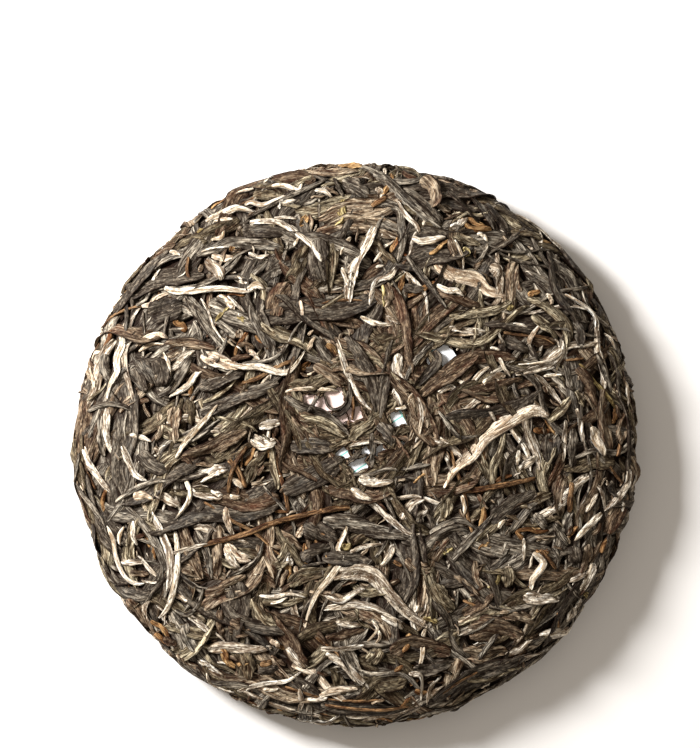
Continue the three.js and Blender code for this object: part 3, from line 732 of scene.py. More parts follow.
BOTTOM_LEFT = (
    Landmark(WOODY, 4.8, ((-61.7, -27), (-58.5, -38), (-54, -48)), 0.3),
    Landmark(DARK, 3.2, ((-57, -30), (-52.6, -39), (-51, -48)), 0.5),
    Landmark(WOODY, 4.3, ((-49, -28), (-49, -39), (-49, -48)), 0.4),
    Landmark(DARK, 7.0, ((-88.6, -23.4), (-85, -30), (-80, -36)), 0.1),
    Landmark(DARK, 6.0, ((-88, -44), (-83, -50), (-77, -53), (-71, -52.5)), 0.3),
    Landmark(WOODY, 4.0, ((-80, -54), (-77, -59), (-73, -65)), 0.3),
    Landmark(WOODY, 5.0, ((-68, -69), (-65.5, -70), (-63, -70)), 0.3),
    Landmark(DARK, 5.0, ((-63, -75), (-57, -80), (-50, -84)), 0.2),
    Landmark(GREEN, 8.0, ((-41, -72), (-39, -77), (-38, -83)), 0.2),
    Landmark(DARK, 3.8, ((-35, -79.4), (-31, -79), (-27, -78)), 0.1),
    Landmark(DARK, 8.0, ((-19, -28), (-13, -31), (-7, -34)), 0.1),
    Landmark(DARK, 5.5, ((-20, -40), (-16, -38), (-9, -36)), 0.1),
    Landmark(GREEN, 5.5, ((-24, -50), (-19, -46), (-9, -44)), 0.3),
    Landmark(WOODY, 7.0, ((-45, -63), (-41, -64.5), (-37, -66)), 0.2),
    Landmark(WOODY, 3.5, ((-48, -58), (-48, -63), (-47, -67.5)), 0.1),
    Landmark(GREEN, 5.0, ((-37, -53.6), (-33, -60.6), (-28, -64)), 0.6),
    Landmark(LIGHT, 4.3, ((-53, -72), (-45.6, -71), (-37, -72), (-29, -71)), 0.35),
    Landmark(DARK, 4.8, ((-47, -54.6), (-44, -60), (-37.5, -63), (-29, -65), (-24, -66)), 0.2),
    Landmark(DARK, 4.8, ((-60.6, -63), (-58.5, -68.6), (-55, -74)), 0.6),
    Landmark(DARK, 3.2, ((-81.6, -21), (-76, -27), (-71, -34), (-67.6, -42), (-67, -50), (-67.6, -55)), 0.6),
    Landmark(WOODY, 2.6, ((-80, -45), (-76, -45.6), (-72.5, -46)), 0.4),
    Landmark(LIGHT, 2.8, ((-83, -41), (-79, -41.7), (-75, -41.7)), 0.4),
    Landmark(LIGHT, 1.8, ((-76, -39.6), (-72.5, -44), (-68.7, -47.6)), 0.5),
    Landmark(LIGHT, 1.9, ((-78.4, -27), (-78.4, -32), (-77, -36)), 0.7),
    Landmark(BUD, 1.6, ((-81.6, -29), (-83, -32.6), (-82.7, -36)), 0.5),
    Landmark(LIGHT, 1.2, ((-75.7, -48), (-72, -48.6), (-68, -48.7)), 0.7),
    Landmark(BLADE, 5.0, ((-46.7, -35), (-43, -39), (-37, -41)), 0.5),
    Landmark(LIGHT, 3.0, ((-46, -38), (-44, -41), (-41, -44)), 0.95),
    Landmark(BLADE, 3.0, ((-46, -22), (-45.6, -27), (-43.4, -32.6)), 0.6),
    Landmark(WIRY, 1.8, ((-45.6, -46.6), (-40, -44), (-35, -40), (-33, -34)), 0.6),
    Landmark(WOODY, 4.0, ((-54.7, -52.5), (-49, -51.4), (-44.5, -48.7), (-38.6, -46)), 0.8),
    Landmark(WIRY, 1.6, ((-64, -58), (-60, -60), (-56, -57), (-53.7, -50)), 0.6),
    Landmark(BUD, 1.3, ((-61.7, -53), (-60, -54.6), (-58.5, -56)), 0.5),
    Landmark(LIGHT, 3.0, ((-59, -60), (-55, -63), (-51, -66.5)), 0.9),
    Landmark(LIGHT, 3.0, ((-56, -76), (-51.5, -78), (-46, -81.5)), 1.0),
    Landmark(LIGHT, 1.5, ((-52.6, -80), (-49, -85), (-42, -87)), 0.7),
    Landmark(LIGHT, 3.0, ((-24.6, -71), (-21, -75.6), (-17, -78)), 0.9),
    Landmark(LIGHT, 1.9, ((-42, -87), (-37, -85), (-31.6, -83.7), (-24, -82.6), (-17.6, -78)), 0.9),
    Landmark(BUD, 1.4, ((-33, -85.8), (-30, -85.8), (-27, -85.6)), 0.6),
    Landmark(LIGHT, 2.0, ((-20, -85), (-19, -90), (-20, -94)), 0.9),
    Landmark(LIGHT, 1.8, ((-17.6, -89), (-13, -89), (-9.6, -88.5)), 0.9),
    Landmark(BLADE, 2.0, ((-30.5, -68.6), (-28.5, -69.6), (-27, -71)), 0.4),
    Landmark(STEM, 2.4, ((-34, -76.7), (-32, -76.6), (-29.4, -76)), 0.7),
    Landmark(BLADE, 2.6, ((-21.4, -33), (-20.2, -31), (-19, -29)), 0.8),
    Landmark(LIGHT, 2.8, ((-25, -40.6), (-23.6, -41), (-23, -43)), 0.9),
    Landmark(WIRY, 1.0, ((-19.8, -43), (-15, -42), (-9.6, -41)), 0.1),
    Landmark(BUD, 1.2, ((-30.5, -56), (-27, -55), (-24, -53.6)), 0.7),
    Landmark(BUD, 1.7, ((-35, -53), (-29.4, -53.6), (-24, -52.5), (-17.6, -53.6)), 0.8),
    Landmark(LIGHT, 3.0, ((-72.5, -23), (-68.7, -31), (-66, -38), (-65.5, -46), (-66.6, -52.5)), 0.8),
    Landmark(BUD, 2.4, ((-64, -30), (-63, -36), (-63, -44), (-64.4, -52.5), (-66.6, -58), (-70, -62)), 0.75),
    Landmark(BUD, 2.0, ((-88, -28), (-85.4, -33), (-84, -40.6), (-81, -46.6), (-77, -49), (-74, -49)), 0.9),
    Landmark(
        STEM,
        2.1,
        ((-60, -37), (-48, -34), (-40, -32), (-29.4, -27.7), (-18.7, -25), (-9.6, -23), (-2, -22.4)),
        0.55,
    ),
    Landmark(LIGHT, 1.9, ((-65, -38.5), (-60, -37), (-52, -35)), 0.7),
    Landmark(
        BUD,
        2.3,
        ((-5.4, -27), (-4, -30), (-7, -36.7), (-5.4, -40), (-9, -46), (-14, -52), (-17, -59), (-18.7, -67)),
        0.4,
    ),
)
BOTTOM = (
    Landmark(DARK, 6.0, ((-13, -27), (-2, -28), (9, -30.6), (20, -33)), 0.5),
    Landmark(DARK, 5.0, ((-13, -40), (-2, -40), (5, -41)), 0.2),
    Landmark(DARK, 3.3, ((15, -34), (21.5, -35), (26, -33.4)), 0.1),
    Landmark(DARK, 6.0, ((21.5, -39), (27, -34.5), (34.4, -30.6), (40, -31)), 0.4),
    Landmark(DARK, 7.0, ((47, -28), (54, -22), (64, -16.6)), 0.2),
    Landmark(DARK, 3.3, ((54, -31.7), (59.7, -24), (64, -20.5)), 0.4),
    Landmark(GREEN, 7.0, ((26, -49.6), (29.4, -54.7), (34.4, -59)), 0.4),
    Landmark(WOODY, 5.5, ((17, -40), (21.5, -43.5), (26, -44.6)), 0.4),
    Landmark(GREEN, 5.0, ((53, -43.5), (53.5, -47), (53.5, -51)), 0.3),
    Landmark(LIGHT, 5.5, ((-10, -47), (-2, -44.6), (5, -45.7), (11, -52.4), (18, -59.7), (26, -65)), 0.35),
    Landmark(WOODY, 4.8, ((-11.5, -69), (-5, -67), (3.6, -65)), 0.2),
    Landmark(WOODY, 8.4, ((11.5, -73.7), (18, -70.4), (26, -71.5), (34, -73.7)), 0.25),
    Landmark(DARK, 5.0, ((20, -79), (26, -79), (34, -77)), 0.2),
    Landmark(GREEN, 5.5, ((4, -77), (6.5, -74), (8, -71)), 0.5),
    Landmark(WOODY, 9.5, ((39, -67), (45.6, -65.3), (54, -66.4), (59.7, -69)), 0.25),
    Landmark(DARK, 7.0, ((27, -91), (34.4, -86), (43, -81), (54, -78), (64, -73.7)), 0.25),
    Landmark(DARK, 5.0, ((-13, -90), (2, -93), (18, -93)), 0.15),
    Landmark(GREEN, 4.0, ((35, -63.6), (40.6, -61.4), (47, -59), (54, -59), (62.5, -62)), 0.8),
    Landmark(WOODY, 4.0, ((37, -60), (43, -57), (49, -52)), 0.1),
    Landmark(WOODY, 2.5, ((34, -46), (39.5, -50), (44, -54.7)), 0.3),
    Landmark(WOODY, 3.0, ((41.7, -41), (42, -47), (44.5, -51)), 0.6),
    Landmark(DARK, 3.0, ((31.6, -44.6), (35.6, -38.4), (42, -31.7), (48.4, -24.4)), 0.5),
    Landmark(LIGHT, 2.8, ((-13, -58), (-3.7, -56.4), (5, -57), (13, -61), (17, -63.6)), 0.8),
    Landmark(LIGHT, 2.5, ((8, -60), (13.7, -63), (16.5, -65)), 0.9),
    Landmark(LIGHT, 2.5, ((-12, -52.4), (-6, -54.7), (0, -51.3), (3, -50.7)), 0.9),
    Landmark(LIGHT, 3.0, ((-7.6, -62), (-3, -63), (2, -63.6)), 1.0),
    Landmark(LIGHT, 2.6, ((-13, -71.5), (-5, -71.5), (5, -70.4)), 0.8),
    Landmark(LIGHT, 3.8, ((-11.5, -73), (-5, -76), (0, -81.6), (5, -86)), 0.6),
    Landmark(BLADE, 3.0, ((-13, -88), (-7.6, -86), (1, -85.5)), 0.6),
    Landmark(STEM, 1.2, ((-12, -90.5), (-2, -92), (9, -92.8), (20, -91.7)), 0.95),
    Landmark(BUD, 1.3, ((5, -61.4), (7, -65), (3, -70)), 0.5),
    Landmark(BUD, 1.3, ((7.5, -65), (8, -67.6), (6, -70.4)), 0.7),
    Landmark(LIGHT, 2.0, ((18, -80.4), (22.7, -81.6), (23, -91)), 0.7),
    Landmark(LIGHT, 1.8, ((30.5, -81.6), (26, -86), (25, -91.7)), 0.5),
    Landmark(STEM, 1.0, ((29.4, -88), (37, -83), (43.4, -80)), 0.9),
    Landmark(BLADE, 1.4, ((35.6, -63), (41.7, -60), (48, -57)), 0.9),
    Landmark(GOLD_LEAF, 2.5, ((23, -60.8), (26, -61.5), (29, -63)), 0.9),
    Landmark(BUD, 1.6, ((21.5, -56.4), (21, -58), (20, -59)), 0.5),
    Landmark(GOLD_LEAF, 2.0, ((30.5, -39), (32, -38), (34, -36.7)), 1.0),
    Landmark(GOLD_LEAF, 1.8, ((50.7, -44.6), (49.6, -49), (46, -50.7)), 0.6),
    Landmark(GOLD_LEAF, 2.8, ((-6, -35.6), (-4, -36), (-2, -35)), 0.4),
    Landmark(LIGHT, 1.7, ((-3, -38), (2.5, -36), (9.8, -35)), 0.8),
    Landmark(LIGHT, 2.8, ((12.6, -35), (11, -39.5), (8, -43)), 0.9),
    Landmark(STEM, 1.6, ((12.6, -41), (14, -42), (16, -43)), 0.9),
    Landmark(LIGHT, 4.0, ((15.4, -27), (19, -22), (24, -19.4)), 0.5),
    Landmark(LIGHT, 3.3, ((18, -28), (21, -26), (25, -23)), 0.95),
    Landmark(GREEN, 5.0, ((31.6, -18), (31, -23), (30.5, -26.6)), 0.8),
    Landmark(BUD, 1.7, ((36.7, -17.7), (37.8, -22), (37.8, -25.5)), 0.5),
    Landmark(BUD, 1.8, ((49.6, -30), (51, -28), (52.4, -26.6)), 0.4),
    Landmark(WIRY, 1.6, ((9, -17.7), (11, -22), (13.7, -26.6)), 0.4),
    Landmark(STEM, 2.2, ((-13, -23.8), (-7.6, -22.7), (-2, -22.4)), 0.9),
    Landmark(DARK, 2.6, ((25, -32), (31.6, -28), (37, -27), (43, -30.6)), 0.5),
    Landmark(LIGHT, 2.5, ((-2.6, -16), (3.6, -20), (9, -24.4), (13, -28), (18, -31.7), (25, -32)), 0.8),
)
BOTTOM_RIGHT = (
    Landmark(WOODY, 6.0, ((73, -10.5), (71.6, -17), (72, -26)), 0.5),
    Landmark(DARK, 4.5, ((90, -13), (92, -16), (94, -18.6)), 0.1),
    Landmark(DARK, 5.0, ((62, -25), (64.5, -27.5), (67, -30)), 0.4),
    Landmark(DARK, 6.0, ((76.5, -36), (77, -39), (78, -43)), 0.05),
    Landmark(WOODY, 3.8, ((83, -35), (82, -41), (80, -46)), 0.6),
    Landmark(DARK, 2.7, ((91, -31.5), (89, -38.5), (86.5, -45.5)), 0.3),
    Landmark(DARK, 3.0, ((70, -67), (75, -63), (79, -57)), 0.3),
    Landmark(WOODY, 4.5, ((50, -60), (57, -60.5), (63.5, -63)), 0.6),
    Landmark(STEM, 2.2, ((76, -13), (75.4, -19), (75.4, -24.5)), 0.6),
    Landmark(LIGHT, 3.0, ((81, -24), (83, -20), (85.6, -17)), 0.5),
    Landmark(LIGHT, 1.6, ((83.5, -12.7), (87, -17), (88.8, -24)), 0.8),
    Landmark(DARK, 3.2, ((70, -27.7), (72, -32), (75.4, -36)), 0.4),
    Landmark(DARK, 2.0, ((69.5, -36), (71.6, -40.6), (71, -45.5)), 0.6),
    Landmark(BUD, 1.4, ((59, -33), (59, -37), (59.2, -41.7)), 0.6),
    Landmark(LIGHT, 2.2, ((75.4, -48.7), (79.7, -46.6), (83, -45.5)), 0.9),
    Landmark(LIGHT, 3.2, ((85, -41.7), (82.5, -47.6), (79.7, -52.5)), 0.9),
    Landmark(DARK, 1.8, ((75, -49), (77.5, -52), (80, -54.6)), 0.5),
    Landmark(LIGHT, 4.8, ((58.7, -54), (64.6, -54.6), (73, -55)), 0.9),
    Landmark(LIGHT, 3.2, ((75, -63), (78, -58.5), (81, -54.6)), 0.7),
    Landmark(STEM, 1.4, ((72, -59.5), (72, -62), (72, -64.8)), 0.9),
    Landmark(GREEN, 1.8, ((67, -69), (68.5, -67.5), (70, -66)), 0.7),
    Landmark(GOLD_LEAF, 2.0, ((81.5, -52.5), (82.5, -53.5), (83, -54.5)), 0.9),
    Landmark(BUD, 1.4, ((95, -20), (95, -22), (94.5, -24)), 0.5),
    Landmark(BUD, 3.0, ((62, -38), (66, -42), (62.5, -47.6), (62, -52)), 0.5),
    Landmark(STEM, 1.6, ((64.6, -37), (68, -40.6), (71, -44.4)), 0.5),
    Landmark(BUD, 2.8, ((88, -24), (82, -29), (77.5, -34.5)), 0.6),
)
MIDDLE = (
    Landmark(DARK, 7.5, ((-27, -17), (-18, -13), (-9, -8), (-4, -5)), 0.1),
    Landmark(DARK, 6.0, ((-24, -1), (-16, -1), (-8, -2)), 0.1),
    Landmark(DARK, 4.0, ((-27, 17), (-21, 13), (-12, 10), (-6, 5), (-2, 2)), 0.3),
    Landmark(GREEN, 4.0, ((-21, 9), (-14, 8), (-8, 5), (-4, 2)), 0.8),
    Landmark(GREEN, 4.0, ((-3, 1), (1, 5), (6, 8)), 0.4),
    Landmark(DARK, 5.6, ((7, 7), (11, 3), (13, -1)), 0.3),
    Landmark(WOODY, 4.5, ((7, -5), (11, -4), (14, -6)), 0.2),
    Landmark(DARK, 6.0, ((-5, 38), (0, 31), (5, 22), (7, 10)), 0.15),
    Landmark(DARK, 5.0, ((13, 37), (11, 28), (9, 20), (8, 8)), 0.25),
    Landmark(WOODY, 7.0, ((20, 18), (22, 11), (21, 4), (18, -2)), 0.7),
    Landmark(LIGHT, 1.6, ((21, 18), (22.5, 11), (21.5, 4), (20, 0)), 0.8),
    Landmark(LIGHT, 4.0, ((14.4, 32), (14, 26), (16, 21)), 0.8),
    Landmark(LIGHT, 3.6, ((12.7, 19.4), (14.4, 16.2), (15, 13)), 0.95),
    Landmark(BUD, 1.6, ((13, 12), (17, 13), (18.5, 16), (19.4, 18)), 0.4),
    Landmark(WOODY, 6.5, ((43, 32), (35, 26.5), (28, 21.6), (21, 16)), 0.15),
    Landmark(DARK, 3.6, ((27, 33), (28, 29), (24, 24), (19, 19)), 0.1),
    Landmark(DARK, 2.2, ((27, 36), (22, 31), (18.5, 26), (16, 20)), 0.8),
    Landmark(WOODY, 4.4, ((-16, 28), (-11, 25), (-7, 22), (-4.4, 20)), 0.4),
    Landmark(LIGHT, 2.4, ((-7.6, 38), (-4.7, 28), (-2.3, 22), (1.4, 15), (6, 11)), 0.7),
    Landmark(DARK, 1.9, ((-9.3, 10.4), (-5.8, 10.7), (-3, 14.6), (-2.8, 20), (-3.5, 22)), 0.1),
    Landmark(WIRY, 1.1, ((-12, 18), (-10.7, 13.5), (-8, 12), (-4.7, 14), (-3.5, 19)), 0.1),
    Landmark(WIRY, 1.5, ((-14, 17), (-16.5, 12.7), (-18, 11)), 0.2),
    Landmark(STEM, 1.2, ((-2, 17), (-1.5, 12), (-2, 8)), 0.3),
    Landmark(BLADE, 1.5, ((-27, 18), (-22, 19), (-15.6, 19.4), (-11, 19), (-6, 18.5)), 0.7),
    Landmark(LIGHT, 1.4, ((-3.5, -1), (0.5, 0), (5, 0.5), (9.5, 0)), 0.9),
    Landmark(DARK, 2.6, ((5, 4), (5.3, -3), (4.6, -9)), 0.3),
    Landmark(WIRY, 1.8, ((1.4, -2), (-1.2, -5), (-3.5, -7)), 0.1),
    Landmark(WIRY, 1.1, ((-1, -5.3), (1.4, -4.6), (3.7, -3.5)), 0.1),
    Landmark(WIRY, 1.5, ((-2, -11), (4, -11), (11, -9), (15, -10)), 0.9),
    Landmark(LIGHT, 2.6, ((28, 18), (32, 20), (36, 18)), 0.8),
    Landmark(WIRY, 1.6, ((28, 12), (31.5, 7), (36, 2.3), (43, 3)), 0.7),
    Landmark(LIGHT, 3.4, ((26.5, 1), (31, 0), (37, -5)), 0.8),
    Landmark(LIGHT, 4.2, ((0, -12), (6, -13.4), (13, -13)), 0.9),
    Landmark(BUD, 2.6, ((-2.6, -15.6), (1.4, -18.3), (5, -20)), 0.6),
)
LANDMARKS = TOP_LEFT + TOP_RIGHT + LEFT + BOTTOM_LEFT + BOTTOM + BOTTOM_RIGHT + RIGHT + MIDDLE


@dataclass
class Sheaf:
    """The leaves of one kind on one side, gathered to become one mesh."""

    kind: LeafKind
    side: Side
    mould: Mould
    paths: list[np.ndarray] = field(default_factory=list)
    lifts: list[np.ndarray] = field(default_factory=list)
    widths: list[float] = field(default_factory=list)
    heights: list[float] = field(default_factory=list)
    tints: list[float] = field(default_factory=list)

    def add(self, path: np.ndarray, lifts: np.ndarray, width: float, height: float, tint: float) -> None:
        """Adds a leaf.

        Args:
            path: Points of its middle line on the side's map, one for each ring.
            lifts: The height of each.
            width: The leaf's width.
            height: Its thickness.
            tint: How pale it is, from 0 to 1.
        """
        self.paths.append(path)
        self.lifts.append(lifts)
        self.widths.append(width)
        self.heights.append(height)
        self.tints.append(tint)

    def limit_at(self, spots: np.ndarray) -> np.ndarray:
        """How high the press lets a leaf stand at some spots, more at the rim, which it doesn't touch."""
        way = np.hypot(spots[..., 0], spots[..., 1])
        rim = self.mould.rim_reach
        free = RIM_FREE if self.side is Side.FACE else 0.0
        return PRESSED + free * smooth_step(rim - 14, rim - 4, way)

    def build(self, draw: np.random.Generator, bed: LeafBed) -> bpy.types.Object:
        """Makes the mesh of all the leaves.

        Args:
            draw: Where the random values come from.
            bed: The finished bed, which tells how deep each point lies among its neighbours, for the painted
                shade.

        Returns:
            The new object.
        """
        kind, count = self.kind, len(self.paths)
        rings, sides = kind.rings, kind.sides
        paths, lifts = np.array(self.paths), np.array(self.lifts)
        widths = np.array(self.widths)[:, None, None]
        heights = np.array(self.heights)[:, None, None]
        shares = ring_shares(rings)
        share = shares[None, :, None]
        aside, rise = leaf_section(sides)
        aside, rise = aside[None, None, :], rise[None, None, :]

        def each(low: float, high: float) -> np.ndarray:
            """One random value for each leaf."""
            return draw.uniform(low, high, count)[:, None, None]

        def drift(knots: int) -> np.ndarray:
            """A random value from -1 to 1 that changes smoothly along each leaf."""
            return drifting(draw, count, knots, shares)

        taper = leaf_taper(share, kind.blunt, kind.bulge)
        uneven = [1 + kind.ragged * (0.65 * drift(6) + 0.5 * drift(13)) for _ in range(2)]
        over = aside * widths / 2 * taper * np.where(aside > 0, uneven[0], uneven[1])
        folds = np.maximum(each(*kind.folds) * widths, 0.6)
        turn = each(*kind.twist) * share
        fold = fold_wave(folds * aside / 2 + 0.45 * drift(6) + turn + each(0, 1)) * (0.75 + 0.45 * drift(5))
        cup = (each(-0.4, 0.4) + 0.3 * drift(5)) * (aside * aside - 0.4)
        rope = kind.rope * np.cos(2 * math.pi * (aside + 2 * turn + each(0, 1)))
        crumple = draw.normal(0, 0.045, (count, rings, sides))
        sheet = kind.fold_depth * fold + cup * np.minimum(1, widths / 4) + crumple
        swollen = rise * heights / 2 * (1 + rope)
        up = (swollen + sheet * np.minimum(1, widths / 3.5)) * np.minimum(1, 3 * taper)
        roll = each(-kind.roll, kind.roll) + kind.roll * drift(4)
        turned = over * np.cos(roll) - up * np.sin(roll)
        raised = over * np.sin(roll) + up * np.cos(roll)
        spots = paths[:, :, None] + across_of(paths)[:, :, None] * turned[..., None]
        limit = self.limit_at(spots)
        levels = limit - 0.15 * np.logaddexp(0, (limit - lifts[:, :, None] - raised) / 0.15)
        body = self.mould.place(spots, levels, self.side)
        tips = self.mould.place(paths[:, [0, -1]], lifts[:, [0, -1]], self.side)
        tips = tips + (tips - self.mould.place(paths[:, [1, -2]], lifts[:, [1, -2]], self.side)) * 0.25
        # crest: how high each point stands on its leaf's folds, cup and twist; the material paints high
        # points paler as highlight and low ones darker as shade
        crest = np.clip(0.5 + 0.5 * fold + 0.5 * np.clip(cup, 0, 1) + 0.3 * rope, 0, 1) * np.ones_like(levels)
        length = np.hypot(*np.moveaxis(np.diff(paths, axis=1), -1, 0)).sum(axis=1)
        along = length[:, None, None] * share * np.ones_like(crest)
        flat = np.stack([over * np.ones_like(crest), along], axis=-1)
        maker = TubeMesh(count, rings, sides)
        made = maker.make(kind.name, body, tips)
        maker.map_fibres(made, flat)
        maker.map_baking(made, float(length.mean()), float(2.2 * widths.mean()))
        # Painted shade: points that lie low among their neighbours are darkened, and so are each leaf's edges
        # and tips, as dark outlines
        edges = EDGE_SHADE * smooth_step(EDGE_SHADE_START, 1.0, np.abs(aside))
        sunk = np.maximum(bed.sunk(spots, levels), edges)
        for name, values, at_tips in (("crest", crest, 0.3), ("sunk", sunk, EDGE_SHADE)):
            tip_values = np.full((count, 2), at_tips)
            maker.mark(made, name, np.concatenate([values.reshape(count, -1), tip_values], axis=1))
        for name, values in (("tint", np.array(self.tints)), ("seed", draw.uniform(0, 90, count))):
            maker.mark(made, name, np.repeat(values[:, None], maker.points_each, axis=1))
        return made


def ring_shares(rings: int) -> np.ndarray:
    """Where a leaf's rings lie along it, closer near the ends."""
    even = np.linspace(0, 1, rings + 2)[1:-1]
    return 0.6 * even + 0.4 * (0.5 - 0.5 * np.cos(math.pi * even))


def leaf_section(sides: int) -> tuple[np.ndarray, np.ndarray]:
    """A flat rounded section, with most of its points on the upper side.

    Args:
        sides: How many points it has.

    Returns:
        How far each is aside, from -1 to 1, and how far up.
    """
    upper = round(sides * 0.65)
    above, below = np.arange(upper) / upper, np.arange(sides - upper) / (sides - upper)
    way = np.concatenate([above, 1 - below])
    aside = 0.55 * np.cos(math.pi * way) + 0.45 * (1 - 2 * way)
    rise = (1 - np.abs(aside) ** 4) ** 0.6
    return aside, np.where(np.arange(sides) < upper, rise, -rise)


def drifting(draw: np.random.Generator, count: int, knots: int, shares: np.ndarray) -> np.ndarray:
    """Random values that change smoothly along each of several leaves.

    Args:
        draw: Where they come from.
        count: How many leaves.
        knots: How many free values each has.
        shares: Where along the leaves to read them.

    Returns:
        Values from -1 to 1 by leaf and share, with a third axis of one.
    """
    values = draw.uniform(-1, 1, (count, knots))
    at = shares * (knots - 1.0001)
    index = at.astype(int)
    part = smooth_step(0, 1, at - index)
    return (values[:, index] * (1 - part) + values[:, index + 1] * part)[:, :, None]


def leaf_taper(share: np.ndarray, blunt: float, bulge: float) -> np.ndarray:
    """A leaf's width along it, as a share of its largest.

    Args:
        share: The way along, from 0 to 1.
        blunt: Low for blunt ends, high for pointed ones.
        bulge: Where the leaf is widest.

    Returns:
        The width at each.
    """
    before = np.clip(share / bulge, 0, 1)
    after = np.clip((1 - share) / (1 - bulge), 0, 1)
    return (1 - (1 - before) ** 2.4) ** blunt * (1 - (1 - after) ** 2.0) ** (blunt * 1.3)


def fold_wave(way: np.ndarray) -> np.ndarray:
    """A wave of folds from -1 to 1, with narrow crests and narrow creases."""
    return np.arcsin(0.97 * np.sin(2 * math.pi * way)) / math.asin(0.97)


@dataclass
class TubeMesh:
    """Closed tubes with pointed ends, as one mesh."""

    count: int
    rings: int
    sides: int

    def __post_init__(self) -> None:
        """Works out which points each face joins, and where each corner lies on an unrolled tube."""
        rings, sides = self.rings, self.sides
        ring, side = np.meshgrid(np.arange(rings - 1), np.arange(sides), indexing="ij")
        ring, side = ring.ravel(), side.ravel()
        after = (side + 1) % sides
        quads = np.column_stack(
            [ring * sides + side, (ring + 1) * sides + side, (ring + 1) * sides + after, ring * sides + after]
        )
        along, around = np.arange(sides), (np.arange(sides) + 1) % sides
        first, last = rings * sides, rings * sides + 1
        far = (rings - 1) * sides
        start_fan = np.column_stack([np.full(sides, first), along, around])
        end_fan = np.column_stack([np.full(sides, last), far + around, far + along])
        self.corners = np.concatenate([quads.ravel(), start_fan.ravel(), end_fan.ravel()])
        self.sizes = np.concatenate([np.full(len(quads), 4), np.full(2 * sides, 3)])
        shares = np.concatenate([[0], ring_shares(rings), [1]])
        quad_along = np.column_stack([shares[ring + 1], shares[ring + 2], shares[ring + 2], shares[ring + 1]])
        quad_around = np.column_stack([side, side, side + 1, side + 1]) / sides
        fan = np.arange(sides)
        start_along = np.column_stack([np.zeros(sides), np.full(sides, shares[1]), np.full(sides, shares[1])])
        end_along = np.column_stack([np.ones(sides), np.full(sides, shares[-2]), np.full(sides, shares[-2])])
        start_around = np.column_stack([fan + 0.5, fan, fan + 1]) / sides
        end_around = np.column_stack([fan + 0.5, fan + 1, fan]) / sides
        self.unrolled = np.column_stack(
            [
                np.concatenate([quad_along.ravel(), start_along.ravel(), end_along.ravel()]),
                np.concatenate([quad_around.ravel(), start_around.ravel(), end_around.ravel()]),
            ]
        )

    @property
    def points_each(self) -> int:
        """How many points each tube has, with its two tips."""
        return self.rings * self.sides + 2

    def all_corners(self) -> np.ndarray:
        """The point at every face corner of all the tubes."""
        return (self.corners[None] + self.points_each * np.arange(self.count)[:, None]).ravel()

    def make(self, name: str, body: np.ndarray, tips: np.ndarray) -> bpy.types.Object:
        """Makes the object.

        Args:
            name: Its name.
            body: Points of each tube by ring and side, in millimetres.
            tips: The first and last point of each tube.

        Returns:
            The object, with smooth faces.
        """
        points = np.concatenate([body.reshape(self.count, -1, 3), tips], axis=1).reshape(-1, 3) * MM
        corners = self.all_corners()
        sizes = np.tile(self.sizes, self.count)
        mesh = bpy.data.meshes.new(name)
        mesh.vertices.add(len(points))
        mesh.vertices.foreach_set("co", points.ravel())
        mesh.loops.add(len(corners))
        mesh.loops.foreach_set("vertex_index", corners.astype(np.int32))
        mesh.polygons.add(len(sizes))
        mesh.polygons.foreach_set("loop_start", (np.cumsum(sizes) - sizes).astype(np.int32))
        mesh.polygons.foreach_set("use_smooth", np.ones(len(sizes), dtype=bool))
        mesh.update(calc_edges=True)
        made = bpy.data.objects.new(name, mesh)
        bpy.context.scene.collection.objects.link(made)
        return made

    def map_fibres(self, made: bpy.types.Object, flat: np.ndarray) -> None:
        """Writes a map in centimetres that follows each tube, for fibres and lines.

        Args:
            made: The object.
            flat: The map place of each point, sideways and along, in millimetres.
        """
        ends = flat[:, [0, -1], 0] * np.array([0.0, 1.0])
        every = np.concatenate([flat.reshape(self.count, -1, 2), ends], axis=1).reshape(-1, 2) * 0.1
        layer = made.data.uv_layers.new(name="Fibres")
        layer.data.foreach_set("uv", every[self.all_corners()].ravel())

    def map_baking(self, made: bpy.types.Object, length: float, girth: float) -> None:
        """Gives every tube its own strip of a second map.

        Args:
            made: The object.
            length: The tubes' usual length.
            girth: Their usual way round.
        """
        columns = max(1, math.ceil(math.sqrt(self.count * girth / length)))
        rows = math.ceil(self.count / columns)
        column, row = np.arange(self.count) % columns, np.arange(self.count) // columns
        strip = self.unrolled * 0.94 + 0.03
        places = (strip[None] + np.stack([column, row], axis=-1)[:, None]) / np.array([columns, rows])
        layer = made.data.uv_layers.new(name="OFBake")
        layer.data.foreach_set("uv", places.ravel())

    def mark(self, made: bpy.types.Object, name: str, values: np.ndarray) -> None:
        """Writes one value for each point as a named attribute."""
        marks = made.data.attributes.new(name, "FLOAT", "POINT")
        marks.data.foreach_set("value", values.ravel().astype(np.float32))


